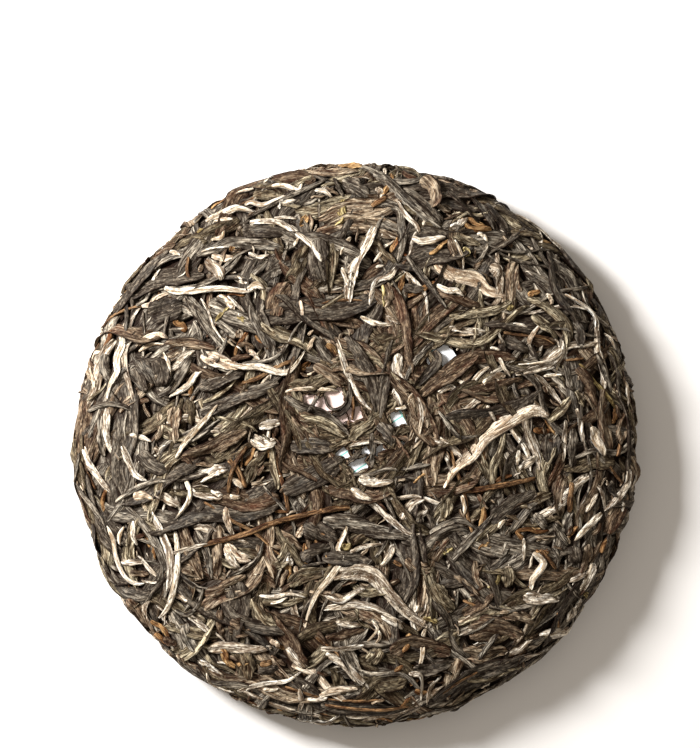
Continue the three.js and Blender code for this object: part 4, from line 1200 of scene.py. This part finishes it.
@dataclass
class Ticket:
    """The slip of paper under the top leaves, and the gaps that show it."""

    width: float = 62.0
    height: float = 44.0
    thickness: float = 0.12
    turn: float = math.radians(33)
    centre: Span = (8.0, 12.0)
    level: float = -1.15
    reach: Span = (-45.0, 60.0)  # a square of the map that holds all of it
    # Each gap that shows it: its middle, its half width and its turn in degrees.
    windows: tuple[tuple[float, float, float, float], ...] = (
        (-8.3, 15.4, 3.0, 12),
        (-12.8, 13.4, 2.2, 35),
        (-17.4, 15.3, 1.5, 8),
        (-1.0, 10.4, 2.0, 20),
        (-5.8, 9.0, 1.5, 40),
        (14.1, 8.8, 1.9, 18),
        (31.0, 31.2, 2.8, 38),
        (-5.2, -3.9, 1.5, 30),
        (0.2, -7.4, 2.3, 25),
        (2.6, -2.8, 1.1, 40),
        (7.7, -2.8, 1.4, 50),
    )

    def covers(self, spots: np.ndarray) -> np.ndarray:
        """Whether each spot of the face's map lies on the ticket."""
        out = np.abs(rotated(spots - np.array(self.centre), -self.turn))
        return (out[..., 0] < self.width / 2) & (out[..., 1] < self.height / 2)

    def lattice(self, step: float) -> np.ndarray:
        """Even spots all over the ticket, a step apart on the map."""
        near = np.arange(*self.reach, step)
        spots = np.stack(np.meshgrid(near, near, indexing="ij"), axis=-1).reshape(-1, 2)
        return spots[self.covers(spots)]

    def is_hidden_by(self, path: np.ndarray, width: float) -> bool:
        """Whether a leaf would close one of the gaps, which are square."""
        for x, y, half, degrees in self.windows:
            out = path - as_on_face(np.array([x, y]))
            turned = rotated(out, -math.radians(degrees))
            if np.abs(turned).max(axis=1).min() < half + width / 2:
                return True
        return False

    def build(self, mould: Mould) -> bpy.types.Object:
        """Makes the sheet, which follows the mould's shape at its own level and is slightly cockled.

        Args:
            mould: The cake's shape.

        Returns:
            The new object.
        """
        bpy.ops.mesh.primitive_grid_add(x_subdivisions=63, y_subdivisions=45, size=1, calc_uvs=True)
        sheet = bpy.context.object
        sheet.name = sheet.data.name = "ticket_sheet"
        sheet.data.uv_layers[0].name = "Paper"
        count = len(sheet.data.vertices)
        points = np.empty(count * 3)
        sheet.data.vertices.foreach_get("co", points)
        flat = points.reshape(-1, 3)[:, :2] * np.array([self.width, self.height])
        spots = rotated(flat, self.turn) + np.array(self.centre)
        across, up = spots[:, 0], spots[:, 1]
        cockle = 0.1 * np.sin(across * 0.55 + 0.4 * np.sin(up * 0.4)) * np.cos(up * 0.5)
        places = mould.place(spots, self.level + cockle, Side.FACE) * MM
        sheet.data.vertices.foreach_set("co", places.ravel())
        sheet.data.update()
        solid = sheet.modifiers.new("paper", "SOLIDIFY")
        solid.thickness = self.thickness * MM
        solid.offset = -1
        bpy.ops.object.modifier_apply(modifier=solid.name)
        return sheet


@dataclass
class Core:
    """The matted inside of the cake, which shows only as dark gaps between the leaves."""

    level: float = -2.4
    segments: int = 160
    bands: int = 90
    clump: float = 0.9

    def build(self, mould: Mould) -> bpy.types.Object:
        """Makes the core from a ball that is pressed into the mould's shape.

        Args:
            mould: The cake's shape.

        Returns:
            The new object.
        """
        bpy.ops.mesh.primitive_uv_sphere_add(segments=self.segments, ring_count=self.bands, radius=1)
        core = bpy.context.object
        core.name = core.data.name = "matted_core"
        points = np.empty(len(core.data.vertices) * 3)
        core.data.vertices.foreach_get("co", points)
        ball = points.reshape(-1, 3)
        fall = np.arccos(np.clip(ball[:, 2], -1, 1)) / math.pi
        angle = np.arctan2(ball[:, 1], ball[:, 0])
        way = fall * mould.reach[-1]
        spots = np.column_stack([way * np.cos(angle), way * np.sin(angle)])
        places = mould.place(spots, np.full(len(spots), self.level), Side.FACE) * MM
        core.data.vertices.foreach_set("co", places.ravel())
        core.data.update()
        clumps = bpy.data.textures.new("clumps", "CLOUDS")
        clumps.noise_scale = 0.004
        relief = core.modifiers.new("clumps", "DISPLACE")
        relief.texture = clumps
        relief.texture_coords = "LOCAL"
        relief.strength = self.clump * MM
        relief.mid_level = 0.5
        bpy.ops.object.modifier_apply(modifier=relief.name)
        bpy.data.textures.remove(clumps)
        for face in core.data.polygons:
            face.use_smooth = True
        return core


@dataclass
class LeafCoat:
    """All the leaves on one side of the cake, laid one over another."""

    side: Side
    mould: Mould
    span: float
    ticket: Ticket | None = None
    ceiling: float = 1.25

    def __post_init__(self) -> None:
        """Starts an empty bed."""
        self.bed = LeafBed(self.span + 12)
        self.sheaves: dict[str, Sheaf] = {}
        self.draw = np.random.default_rng(SEED if self.side is Side.FACE else SEED + 1)

    def sheaf(self, kind: LeafKind) -> Sheaf:
        """The sheaf of a kind, new if there is none yet."""
        return self.sheaves.setdefault(kind.name, Sheaf(kind, self.side, self.mould))

    def heading_at(self, spot: np.ndarray) -> float:
        """Which way leaves tend to lie: in loose drifts on the face, and round the rim near the edge."""
        x, y = spot * 0.035
        drift = 2.2 * math.sin(x + 1.7 * math.sin(0.8 * y + 1.0)) + 1.6 * math.cos(1.3 * y - 0.7 * x)
        drift += self.draw.normal(0, 0.7)
        way = float(np.hypot(*spot))
        round_rim = math.atan2(spot[1], spot[0]) + math.pi / 2 + self.draw.normal(0, 0.42)
        edge = self.span - 30 if self.side is Side.FACE else math.inf
        return round_rim if way > edge + self.draw.normal(0, 6) else drift

    def drawn_path(self, kind: LeafKind, length: float, inner: float = 0.0) -> np.ndarray:
        """A middle line for a leaf, from a random spot.

        Args:
            kind: The kind of leaf.
            length: Its length.
            inner: How far out it lies at least, as a share of the coat's span.

        Returns:
            Its points, one for each ring.
        """
        way = self.span * math.sqrt(self.draw.uniform(inner**2, 1))
        angle = self.draw.uniform(0, 2 * math.pi)
        middle = way * np.array([math.cos(angle), math.sin(angle)])
        shares = ring_shares(kind.rings)
        bend = self.draw.normal(0, kind.bend * 0.6)
        waves, start = self.draw.uniform(0.8, 1.8), self.draw.uniform(0, 6)
        wiggle = kind.wander * np.sin(2 * math.pi * waves * shares + start)
        heading = self.heading_at(middle) + bend * (shares - 0.5) + wiggle
        steps = np.diff(shares, prepend=0)[:, None] * length
        line = np.cumsum(np.column_stack([np.cos(heading), np.sin(heading)]) * steps, axis=0)
        return line - line[len(line) // 2] + middle

    def settle(
        self, path: np.ndarray, widths: np.ndarray, height: float, ceiling: float, dive: float
    ) -> np.ndarray:
        """Lowers a leaf on to the bed.

        Args:
            path: Points of its middle line.
            widths: Its width at each.
            height: Its thickness.
            ceiling: The height that the press lets its upper side reach.
            dive: How far its ends dip among the others.

        Returns:
            The height of each point.
        """
        held = self.bed.support(path, widths)
        padded = np.pad(held, 2, mode="edge")
        humps = np.maximum.reduce([padded[i : i + len(held)] for i in range(5)]) - SAG
        stiff = np.pad(np.maximum(held, humps), 2, mode="edge")
        shares = ring_shares(len(path))
        dip = dive * (1 - smooth_step(0, 0.16, shares) * smooth_step(0, 0.2, 1 - shares))
        eased = np.convolve(stiff, STIFFNESS, "valid") + height * 0.5 - dip
        limit = ceiling - height * 0.5
        return limit - SOFTNESS * np.logaddexp(0, (limit - eased) / SOFTNESS)

    def lay(
        self,
        kind: LeafKind,
        path: np.ndarray,
        width: float,
        height: float,
        tint: float,
        ceiling: float,
        dive: float,
    ) -> None:
        """Lays a leaf on the bed and adds it to its sheaf.

        Args:
            kind: The kind of leaf.
            path: Points of its middle line.
            width: Its width.
            height: Its thickness.
            tint: How pale it is.
            ceiling: The height that its upper side may reach.
            dive: How far its ends dip among the others.
        """
        widths = width * leaf_taper(ring_shares(kind.rings), kind.blunt, kind.bulge)
        lifts = self.settle(path, widths, height, ceiling, dive)
        self.bed.cover(path, widths, lifts + height * 0.5)
        self.sheaf(kind).add(path, lifts, width, height, tint)

    def scatter(self, kind: LeafKind, count: int, ceiling: float, inner: float = 0.0, tries: int = 3) -> None:
        """Lays leaves at random, each in the lowest of a few places.

        Args:
            kind: The kind of leaf.
            count: How many.
            ceiling: The height that the upper sides may reach.
            inner: How far out they lie at least, as a share of the coat's span.
            tries: How many places to compare.
        """
        for _ in range(count):
            length, width = self.draw.uniform(*kind.length), self.draw.uniform(*kind.width)
            best, lowest = None, math.inf
            for _ in range(tries):
                path = self.drawn_path(kind, length, inner)
                if self.ticket and self.ticket.is_hidden_by(path, width):
                    continue
                level = float(self.bed.read(path).mean())
                if level < lowest:
                    best, lowest = path, level
            if best is None:
                continue
            height = self.draw.uniform(*kind.thickness)
            dive = self.draw.uniform(0.2, 0.9)
            self.lay(kind, best, width, height, self.draw.uniform(0, 1) ** kind.pale_power, ceiling, dive)

    def hide_paper(self, kinds: tuple[LeafKind, ...], tries: int = 700) -> None:
        """Lays small leaves over the paper, except where it shows through a gap.

        Args:
            kinds: The kinds of leaf to choose from.
            tries: How many times to look for bare paper.
        """
        lattice = self.ticket.lattice(0.5)
        sizes = np.repeat([1.0, 0.7, 0.5, 0.35, 0.22], 6)  # smaller and smaller, until one closes no gap
        lattice = lattice[[not self.ticket.is_hidden_by(spot[None], 0.7) for spot in lattice]]
        for turn in range(tries):
            bare = lattice[self.bed.read(lattice) < self.ticket.level + 0.3]
            if len(bare) < 4:
                break
            middle = bare[self.draw.integers(len(bare))]
            kind = kinds[turn % len(kinds)]
            length, width = self.draw.uniform(*kind.length), self.draw.uniform(*kind.width)
            for size in sizes:
                path = self.drawn_path(kind, length * size)
                path = path - path[len(path) // 2] + middle
                if not self.ticket.is_hidden_by(path, width * size):
                    height = self.draw.uniform(*kind.thickness)
                    self.lay(kind, path, width * size, height, self.draw.uniform(0, 0.45), 0.4, 0.3)
                    break

    def mix(self, recipe: dict[LeafKind, int], ceiling: float, inner: float = 0.0, tries: int = 3) -> None:
        """Lays several kinds mixed through one another.

        Args:
            recipe: How many of each kind.
            ceiling: The height that the upper sides may reach.
            inner: How far out they lie at least, as a share of the coat's span.
            tries: How many places to compare for each; many find the hollows.
        """
        kinds = [kind for kind, count in recipe.items() for _ in range(count)]
        for index in self.draw.permutation(len(kinds)):
            self.scatter(kinds[index], 1, ceiling, inner, tries)

    def lay_landmarks(self) -> None:
        """Lays the leaves that stand out in the photo."""
        for mark in LANDMARKS:
            points = as_on_face(np.array(mark.path, dtype=float))
            radius = np.maximum(np.hypot(*points.T), 1e-6)
            reach = np.array([self.mould.reach_at(min(one, self.mould.rim - 0.5)) for one in radius])
            path = curve_through(points * (reach / radius)[:, None], ring_shares(mark.kind.rings))
            height = float(np.mean(mark.kind.thickness))
            self.lay(mark.kind, path, mark.width, height, mark.tint, self.ceiling + 0.3, 0.5)


def set_inputs(node: bpy.types.Node, values: dict[str, float]) -> None:
    """Sets some inputs of a node to plain numbers."""
    for name, value in values.items():
        node.inputs[name].default_value = value


@dataclass
class Wiring:
    """Adds nodes to a shader tree and joins them."""

    tree: bpy.types.NodeTree

    def node(self, kind: str) -> bpy.types.Node:
        """A new node of a kind."""
        return self.tree.nodes.new(kind)

    def feed(self, value: Socket | Colour | float, socket: Socket) -> None:
        """Links a value to a socket, or sets the socket to a plain number or colour."""
        if isinstance(value, Socket):
            self.tree.links.new(value, socket)
        else:
            socket.default_value = (*value, 1) if isinstance(value, tuple) else value

    def map_place(self, name: str) -> Socket:
        """The place on a named map."""
        node = self.node("ShaderNodeUVMap")
        node.uv_map = name
        return node.outputs[0]

    def worked(self, how: str, *values: Socket | float) -> Socket:
        """What a sum on some values gives."""
        node = self.node("ShaderNodeMath")
        node.operation = how
        for value, socket in zip(values, node.inputs):
            self.feed(value, socket)
        return node.outputs[0]

    def ranged(
        self, value: Socket, low: float, high: float, to_low: float = 0.0, to_high: float = 1.0
    ) -> Socket:
        """A value moved smoothly from one range to another.

        Args:
            value: The value.
            low: Where the first range starts.
            high: Where it ends.
            to_low: What the value becomes at low.
            to_high: What it becomes at high.

        Returns:
            The new value.
        """
        node = self.node("ShaderNodeMapRange")
        node.interpolation_type = "SMOOTHSTEP"
        set_inputs(node, {"From Min": low, "From Max": high, "To Min": to_low, "To Max": to_high})
        self.feed(value, node.inputs["Value"])
        return node.outputs[0]

    def mixed(self, one: Socket | Colour, two: Socket | Colour, share: Socket) -> Socket:
        """Two colours mixed by the share that the second has."""
        node = self.node("ShaderNodeMix")
        node.data_type = "RGBA"
        for value, index in ((share, 0), (one, 6), (two, 7)):
            self.feed(value, node.inputs[index])
        return node.outputs[2]

    def ramp(self, value: Socket, colours: tuple[Colour, Colour], places: Span = (0.0, 1.0)) -> Socket:
        """A value turned into a colour between two, which it reaches at two places."""
        node = self.node("ShaderNodeValToRGB")
        for index in (0, 1):
            node.color_ramp.elements[index].position = places[index]
            node.color_ramp.elements[index].color = (*colours[index], 1)
        self.feed(value, node.inputs[0])
        return node.outputs[0]

    def bump(self, shader: bpy.types.Node, height: Socket, strength: float, depth: float) -> None:
        """Gives a shader its relief, whose depth is in millimetres."""
        node = self.node("ShaderNodeBump")
        set_inputs(node, {"Strength": strength, "Distance": depth * MM})
        self.feed(height, node.inputs["Height"])
        self.feed(node.outputs[0], shader.inputs["Normal"])


@dataclass(frozen=True)
class FibreGroup:
    """The shader group of fine lengthwise lines, creases and blotches that all dried leaf shares."""

    name: str = "leaf_fibres"

    def build(self) -> bpy.types.NodeTree:
        """Makes the group.

        Returns:
            A node group with the outputs Lines, Creases, Folds, Blotch, Grain and Relief.
        """
        group = bpy.data.node_groups.new(self.name, "ShaderNodeTree")
        face = group.interface
        face.new_socket(name="Map", in_out="INPUT", socket_type="NodeSocketVector")
        face.new_socket(name="Seed", in_out="INPUT", socket_type="NodeSocketFloat")
        fineness = face.new_socket(name="Fineness", in_out="INPUT", socket_type="NodeSocketFloat")
        fineness.default_value = 15.0
        for name in ("Lines", "Creases", "Folds", "Blotch", "Grain", "Relief"):
            face.new_socket(name=name, in_out="OUTPUT", socket_type="NodeSocketFloat")
        wires = Wiring(group)
        worked, ranged = wires.worked, wires.ranged
        enter, leave = wires.node("NodeGroupInput"), wires.node("NodeGroupOutput")
        split = wires.node("ShaderNodeSeparateXYZ")
        wires.feed(enter.outputs["Map"], split.inputs[0])

        def noise(scale: Socket | float, stretch: float, shift: float, detail: float, warp: float) -> Socket:
            """Noise drawn out along the leaf, different on each leaf."""
            join = wires.node("ShaderNodeCombineXYZ")
            wires.feed(split.outputs[0], join.inputs[0])
            wires.feed(worked("MULTIPLY", split.outputs[1], stretch), join.inputs[1])
            wires.feed(worked("ADD", enter.outputs["Seed"], shift), join.inputs[2])
            node = wires.node("ShaderNodeTexNoise")
            set_inputs(node, {"Detail": detail, "Distortion": warp})
            wires.feed(scale, node.inputs["Scale"])
            wires.feed(join.outputs[0], node.inputs["Vector"])
            return node.outputs[0]

        def thread(value: Socket, width: float) -> Socket:
            """Thin threads where noise crosses its middle value."""
            off = worked("ABSOLUTE", worked("SUBTRACT", value, 0.5))
            return ranged(worked("MULTIPLY_ADD", off, -1.0 / width, 1.0), 0.0, 1.0)

        fine = noise(enter.outputs["Fineness"], 0.09, 0.0, 2.0, 0.4)
        half = worked("MULTIPLY", enter.outputs["Fineness"], 0.5)
        wide = noise(half, 0.14, 31.0, 2.0, 0.8)
        lines = worked("MULTIPLY", thread(fine, 0.11), ranged(wide, 0.4, 0.56))
        lines = worked("MAXIMUM", lines, thread(noise(half, 0.1, 57.0, 1.0, 0.5), 0.05))
        cracks = thread(noise(half, 0.12, 11.0, 2.0, 0.7), 0.075)
        # Creases are the leaf's own dark cracks plus the low parts of the wide relief, which the material
        # darkens as painted shade; Folds are its high parts, which it paints paler as highlight
        creases = worked("MAXIMUM", cracks, ranged(wide, 0.46, 0.34))
        grain = noise(16.0, 0.5, 83.0, 3.0, 0.5)
        relief = worked("MULTIPLY", wide, 2.0)
        for part, share in ((fine, 0.8), (grain, 1.3), (creases, -0.35), (lines, 0.2)):
            relief = worked("ADD", relief, worked("MULTIPLY", part, share))
        results = {
            "Lines": lines,
            "Creases": creases,
            "Folds": ranged(wide, 0.38, 0.66),
            "Blotch": noise(2.2, 0.4, 5.0, 3.0, 0.0),
            "Grain": grain,
            "Relief": relief,
        }
        for name, value in results.items():
            wires.feed(value, leave.inputs[name])
        return group


@dataclass
class Dresser:
    """Makes the materials."""

    fibres: bpy.types.NodeTree
    made: dict[str, bpy.types.Material] = field(default_factory=dict)

    def leaf(self, finish: LeafFinish) -> bpy.types.Material:
        """The material of a kind of leaf.

        Args:
            finish: Its colours and surface.

        Returns:
            The material, made once.
        """
        if finish.name in self.made:
            return self.made[finish.name]
        material, wires, shader = fresh_material(finish.name)
        ranged = wires.ranged
        reads = {}
        for name in ("crest", "tint", "seed", "sunk"):
            node = wires.node("ShaderNodeAttribute")
            node.attribute_name = name
            reads[name] = node.outputs["Fac"]
        fibres = wires.node("ShaderNodeGroup")
        fibres.node_tree = self.fibres
        fibres.inputs["Fineness"].default_value = finish.fibre * 10
        wires.feed(wires.map_place("Fibres"), fibres.inputs["Map"])
        wires.feed(reads["seed"], fibres.inputs["Seed"])
        crest, tint, marks = reads["crest"], reads["tint"], fibres.outputs

        def times(one: Socket, two: Socket) -> Socket:
            """Two values multiplied."""
            return wires.worked("MULTIPLY", one, two)

        # Painted highlight and shade: the body runs from deep in the valleys to its own colour on the crests,
        # and tint makes whole leaves paler
        crest_light_and_tint = times(ranged(crest, 0.05, 0.6, 0.3, 1), ranged(tint, 0, 0.8, 0.6, 1))
        striped = ranged(tint, 0.05, 0.85, 0.06, 1)
        # The pale lines are strongest on the crests, partly as painted highlight
        thin = times(marks["Lines"], ranged(crest, 0.1, 0.9, 0.25, finish.line_share))
        layers = (
            # painted highlight: pale on the raised folds of the crests
            (finish.pale, times(marks["Folds"], times(ranged(crest, 0.3, 1.0, 0.25, 1), striped))),
            (finish.blush, ranged(marks["Blotch"], 0.5, 0.68, 0, finish.blush_share * 2)),
            (finish.line, times(thin, ranged(tint, 0.05, 0.8, 0.16, 1))),
            (finish.pale, ranged(marks["Grain"], 0.52, 0.66, 0, 0.5)),
            (finish.deep, ranged(marks["Grain"], 0.47, 0.33, 0, 0.65)),
            # the creases' own dark colour, deepened by painted shade in the low parts of the relief
            (finish.deep, ranged(marks["Creases"], 0, 1, 0, finish.crease_share)),
            # painted shade among the leaves and along their edges and tips
            (GAP_SHADE_COLOUR, ranged(reads["sunk"], 0.08, 0.85, 0, 0.95)),
        )
        body = wires.mixed(finish.deep, finish.body, crest_light_and_tint)
        for colour, share in layers:
            body = wires.mixed(body, colour, share)
        wires.feed(body, shader.inputs["Base Color"])
        set_inputs(shader, {"Roughness": finish.roughness, "Sheen Weight": finish.sheen})
        set_inputs(shader, {"Specular IOR Level": finish.shine})
        wires.bump(shader, marks["Relief"], finish.relief, 0.3)
        self.made[finish.name] = material
        return material

    def core(self) -> bpy.types.Material:
        """The material of the matted core: dark crumbs, partly the tea's own colour and partly painted shade
        for the gaps between the leaves, with a few brown ones.
        """
        material, wires, shader = fresh_material("matted_tea")
        spot = wires.node("ShaderNodeTexCoord")
        crumbs = wires.node("ShaderNodeTexVoronoi")
        set_inputs(crumbs, {"Scale": 700})
        wires.feed(spot.outputs["Object"], crumbs.inputs["Vector"])
        # Near black: partly the matted tea's own colour, partly painted shade for the gaps between the leaves
        colour = wires.ramp(crumbs.outputs["Color"], (linear(14, 7, 3), linear(48, 34, 22)))
        wires.feed(colour, shader.inputs["Base Color"])
        set_inputs(shader, {"Roughness": 0.85, "Specular IOR Level": 0.08})
        wires.bump(shader, crumbs.outputs["Distance"], 0.7, 0.5)
        return material

    def paper(self) -> bpy.types.Material:
        """The ticket's material: fibrous paper with a thin plain frame and a pink field."""
        material, wires, shader = fresh_material("ticket_paper")
        spot = wires.map_place("Paper")
        split = wires.node("ShaderNodeSeparateXYZ")
        wires.feed(spot, split.inputs[0])

        def band(axis: int, middle: float, half: float) -> Socket:
            """1 in a band across the paper, and 0 elsewhere."""
            return wires.worked("COMPARE", split.outputs[axis], middle, half)

        pulp = wires.node("ShaderNodeTexNoise")
        set_inputs(pulp, {"Scale": 60, "Detail": 4})
        wires.feed(spot, pulp.inputs["Vector"])
        base = wires.ramp(pulp.outputs[0], (linear(236, 240, 244), linear(250, 252, 255)), (0.3, 0.7))
        pink_field = wires.worked("MULTIPLY", band(0, 0.27, 0.24), band(1, 0.68, 0.26))
        base = wires.mixed(base, linear(250, 222, 212), pink_field)
        frame_lines = band(1, 0.2, 0.006)
        for line in (band(1, 0.36, 0.006), band(0, 0.56, 0.004), band(0, 0.9, 0.004)):
            frame_lines = wires.worked("MAXIMUM", frame_lines, line)
        base = wires.mixed(base, linear(140, 208, 198), frame_lines)
        wires.feed(base, shader.inputs["Base Color"])
        set_inputs(shader, {"Roughness": 0.8})
        wires.bump(shader, pulp.outputs[0], 0.25, 0.1)
        return material


def fresh_material(name: str) -> tuple[bpy.types.Material, Wiring, bpy.types.Node]:
    """A new material with a Principled shader.

    Args:
        name: Its name.

    Returns:
        The material, the wiring of its tree and the shader.
    """
    material = bpy.data.materials.new(name)
    material.use_nodes = True
    return material, Wiring(material.node_tree), material.node_tree.nodes["Principled BSDF"]


@dataclass
class Studio:
    """The plain pale floor, the soft light and the camera."""

    distance: float = 1.15
    lean_left: float = math.radians(5.0)
    lean_down: float = math.radians(3.0)
    floor: Colour = linear(246, 243, 240)
    sky: Colour = linear(255, 245, 232)
    sky_strength: float = 0.38
    lamp_place: Place = (-0.58, 0.33, 0.42)
    lamp_size: float = 0.22
    lamp_power: float = 15.8  # in watts

    def build(self) -> None:
        """Makes the floor, the light and the camera."""
        bpy.ops.mesh.primitive_plane_add(size=6, location=(0, 0, 0))
        ground = bpy.context.object
        ground.name = "floor"
        material, _, shader = fresh_material("pale_floor")
        shader.inputs["Base Color"].default_value = (*self.floor, 1)
        shader.inputs["Roughness"].default_value = 0.9
        ground.data.materials.append(material)
        world = bpy.context.scene.world or bpy.data.worlds.new("studio")
        bpy.context.scene.world = world
        world.use_nodes = True
        sky = world.node_tree.nodes["Background"]
        sky.inputs[0].default_value = (*self.sky, 1)
        sky.inputs[1].default_value = self.sky_strength
        self.lamp()
        self.camera()

    def lamp(self) -> None:
        """A square soft light that faces the cake."""
        data = bpy.data.lights.new("key", "AREA")
        data.size, data.energy = self.lamp_size, self.lamp_power
        lamp = bpy.data.objects.new("key", data)
        bpy.context.scene.collection.objects.link(lamp)
        lamp.location = self.lamp_place
        lamp.rotation_euler = facing(self.lamp_place, (0, 0, 0.01))

    def camera(self) -> None:
        """The camera, at the photo's angle and distance."""
        middle_x, middle_y = CAKE_CENTRE_PX
        aim_x = (IMAGE_WIDTH / 2 - middle_x) * PHOTO_SCALE * MM
        aim_y = (middle_y - IMAGE_HEIGHT / 2) * PHOTO_SCALE * MM
        aim = (aim_x, aim_y, 0.009)
        place = (
            aim[0] - self.distance * math.sin(self.lean_left),
            aim[1] - self.distance * math.sin(self.lean_down),
            aim[2] + self.distance * math.cos(self.lean_left) * math.cos(self.lean_down),
        )
        data = bpy.data.cameras.new("camera")
        data.lens = data.sensor_width * self.distance / (IMAGE_HEIGHT * PHOTO_SCALE * MM)
        camera = bpy.data.objects.new("camera", data)
        bpy.context.scene.collection.objects.link(camera)
        camera.location = place
        camera.rotation_euler = facing(place, aim)
        bpy.context.scene.camera = camera


def facing(place: Place, aim: Place) -> tuple[float, float, float]:
    """The turn that makes something look from a place at a point, with +Y up in its picture.

    Args:
        place: Where it is.
        aim: What it looks at.

    Returns:
        The turn as Euler angles.
    """
    back = (Vector(place) - Vector(aim)).normalized()
    right = Vector((0, 1, 0)).cross(back).normalized()
    up = back.cross(right)
    turn = Matrix((right, up, back)).transposed().to_euler()
    return turn.x, turn.y, turn.z


@dataclass
class TeaCake:
    """The whole cake."""

    mould: Mould = field(default_factory=Mould)
    ticket: Ticket = field(default_factory=Ticket)
    core: Core = field(default_factory=Core)

    def build(self) -> None:
        """Builds and dresses every piece."""
        dresser = Dresser(FibreGroup().build())
        core = self.core.build(self.mould)
        core.data.materials.append(dresser.core())
        self.hand_over(core, "tea_cake")
        sheet = self.ticket.build(self.mould)
        sheet.data.materials.append(dresser.paper())
        self.hand_over(sheet, "ticket")
        for coat in (self.face(), self.back()):
            for sheaf in coat.sheaves.values():
                piece = sheaf.build(coat.draw, coat.bed)
                piece.data.materials.append(dresser.leaf(sheaf.kind.finish))
                self.hand_over(piece, "tea_cake")

    def face(self) -> LeafCoat:
        """Lays the leaves of the face and the rim."""
        coat = LeafCoat(Side.FACE, self.mould, self.mould.rim_reach + 10, self.ticket)
        coat.scatter(UNDER, 260, -0.9)
        on_ticket = coat.bed.cells(self.ticket.lattice(0.4))
        coat.bed.level[on_ticket] = self.ticket.level + 0.1
        lower = {DARK: 100, WOODY: 80, GREEN: 60, SCRAP: 80, LIGHT: 24, WIRY: 30, STEM: 16}
        coat.mix(lower | {OCHRE_BIT: 40, CRUMB: 100}, 0.3)
        coat.hide_paper((WOODY, SCRAP, GREEN, CRUMB))
        upper = {DARK: 6, WOODY: 8, GREEN: 6, LIGHT: 20, WIRY: 24, STEM: 10, BUD: 8, BLADE: 4}
        coat.mix(upper | {OCHRE_BIT: 40, CRUMB: 80, PALE_CRUMB: 160}, 0.7)
        coat.mix({WIRY: 10, SCRAP: 16, LIGHT: 3, CRUMB: 30, PALE_CRUMB: 12}, 1.0, 0.82)
        coat.mix({SCRAP: 44, OCHRE_BIT: 8, CRUMB: 40}, 0.5, tries=60)
        coat.lay_landmarks()
        coat.mix({CRUMB: 60, PALE_CRUMB: 12}, 0.5, tries=90)
        coat.mix({WIRY: 16, SCRAP: 18, LIGHT: 4, CRUMB: 50, PALE_CRUMB: 12}, 2.6, 0.88, 1)
        return coat

    def back(self) -> LeafCoat:
        """Lays the leaves of the back and the heel."""
        coat = LeafCoat(Side.BACK, self.mould, self.mould.reach[-1] - self.mould.rim_reach + 1, ceiling=0.9)
        coat.mix({BACK_LEAF: 280, BACK_BROWN: 170, BACK_TAN: 95, BACK_BUD: 40}, coat.ceiling)
        coat.mix({BACK_SCRAP: 240}, 0.3, tries=60)
        return coat

    def hand_over(self, piece: bpy.types.Object, node: str) -> None:
        """Hangs a piece on the root body, hides the CAD part that it replaces and logs its triangles.

        Args:
            piece: The piece.
            node: The CAD node.
        """
        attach(piece, "root")
        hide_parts(node)
        triangles = len(piece.data.loops) - 2 * len(piece.data.polygons)
        LOG.info("%s: %d triangles", piece.name, triangles)


def main() -> None:
    """Builds the cake and the studio."""
    logging.basicConfig(level=logging.INFO, format="%(message)s")
    bpy.ops.object.select_all(action="DESELECT")
    TeaCake().build()
    Studio().build()
    bpy.context.scene.view_settings.view_transform = "Standard"


if __name__ == "__main__":
    main()
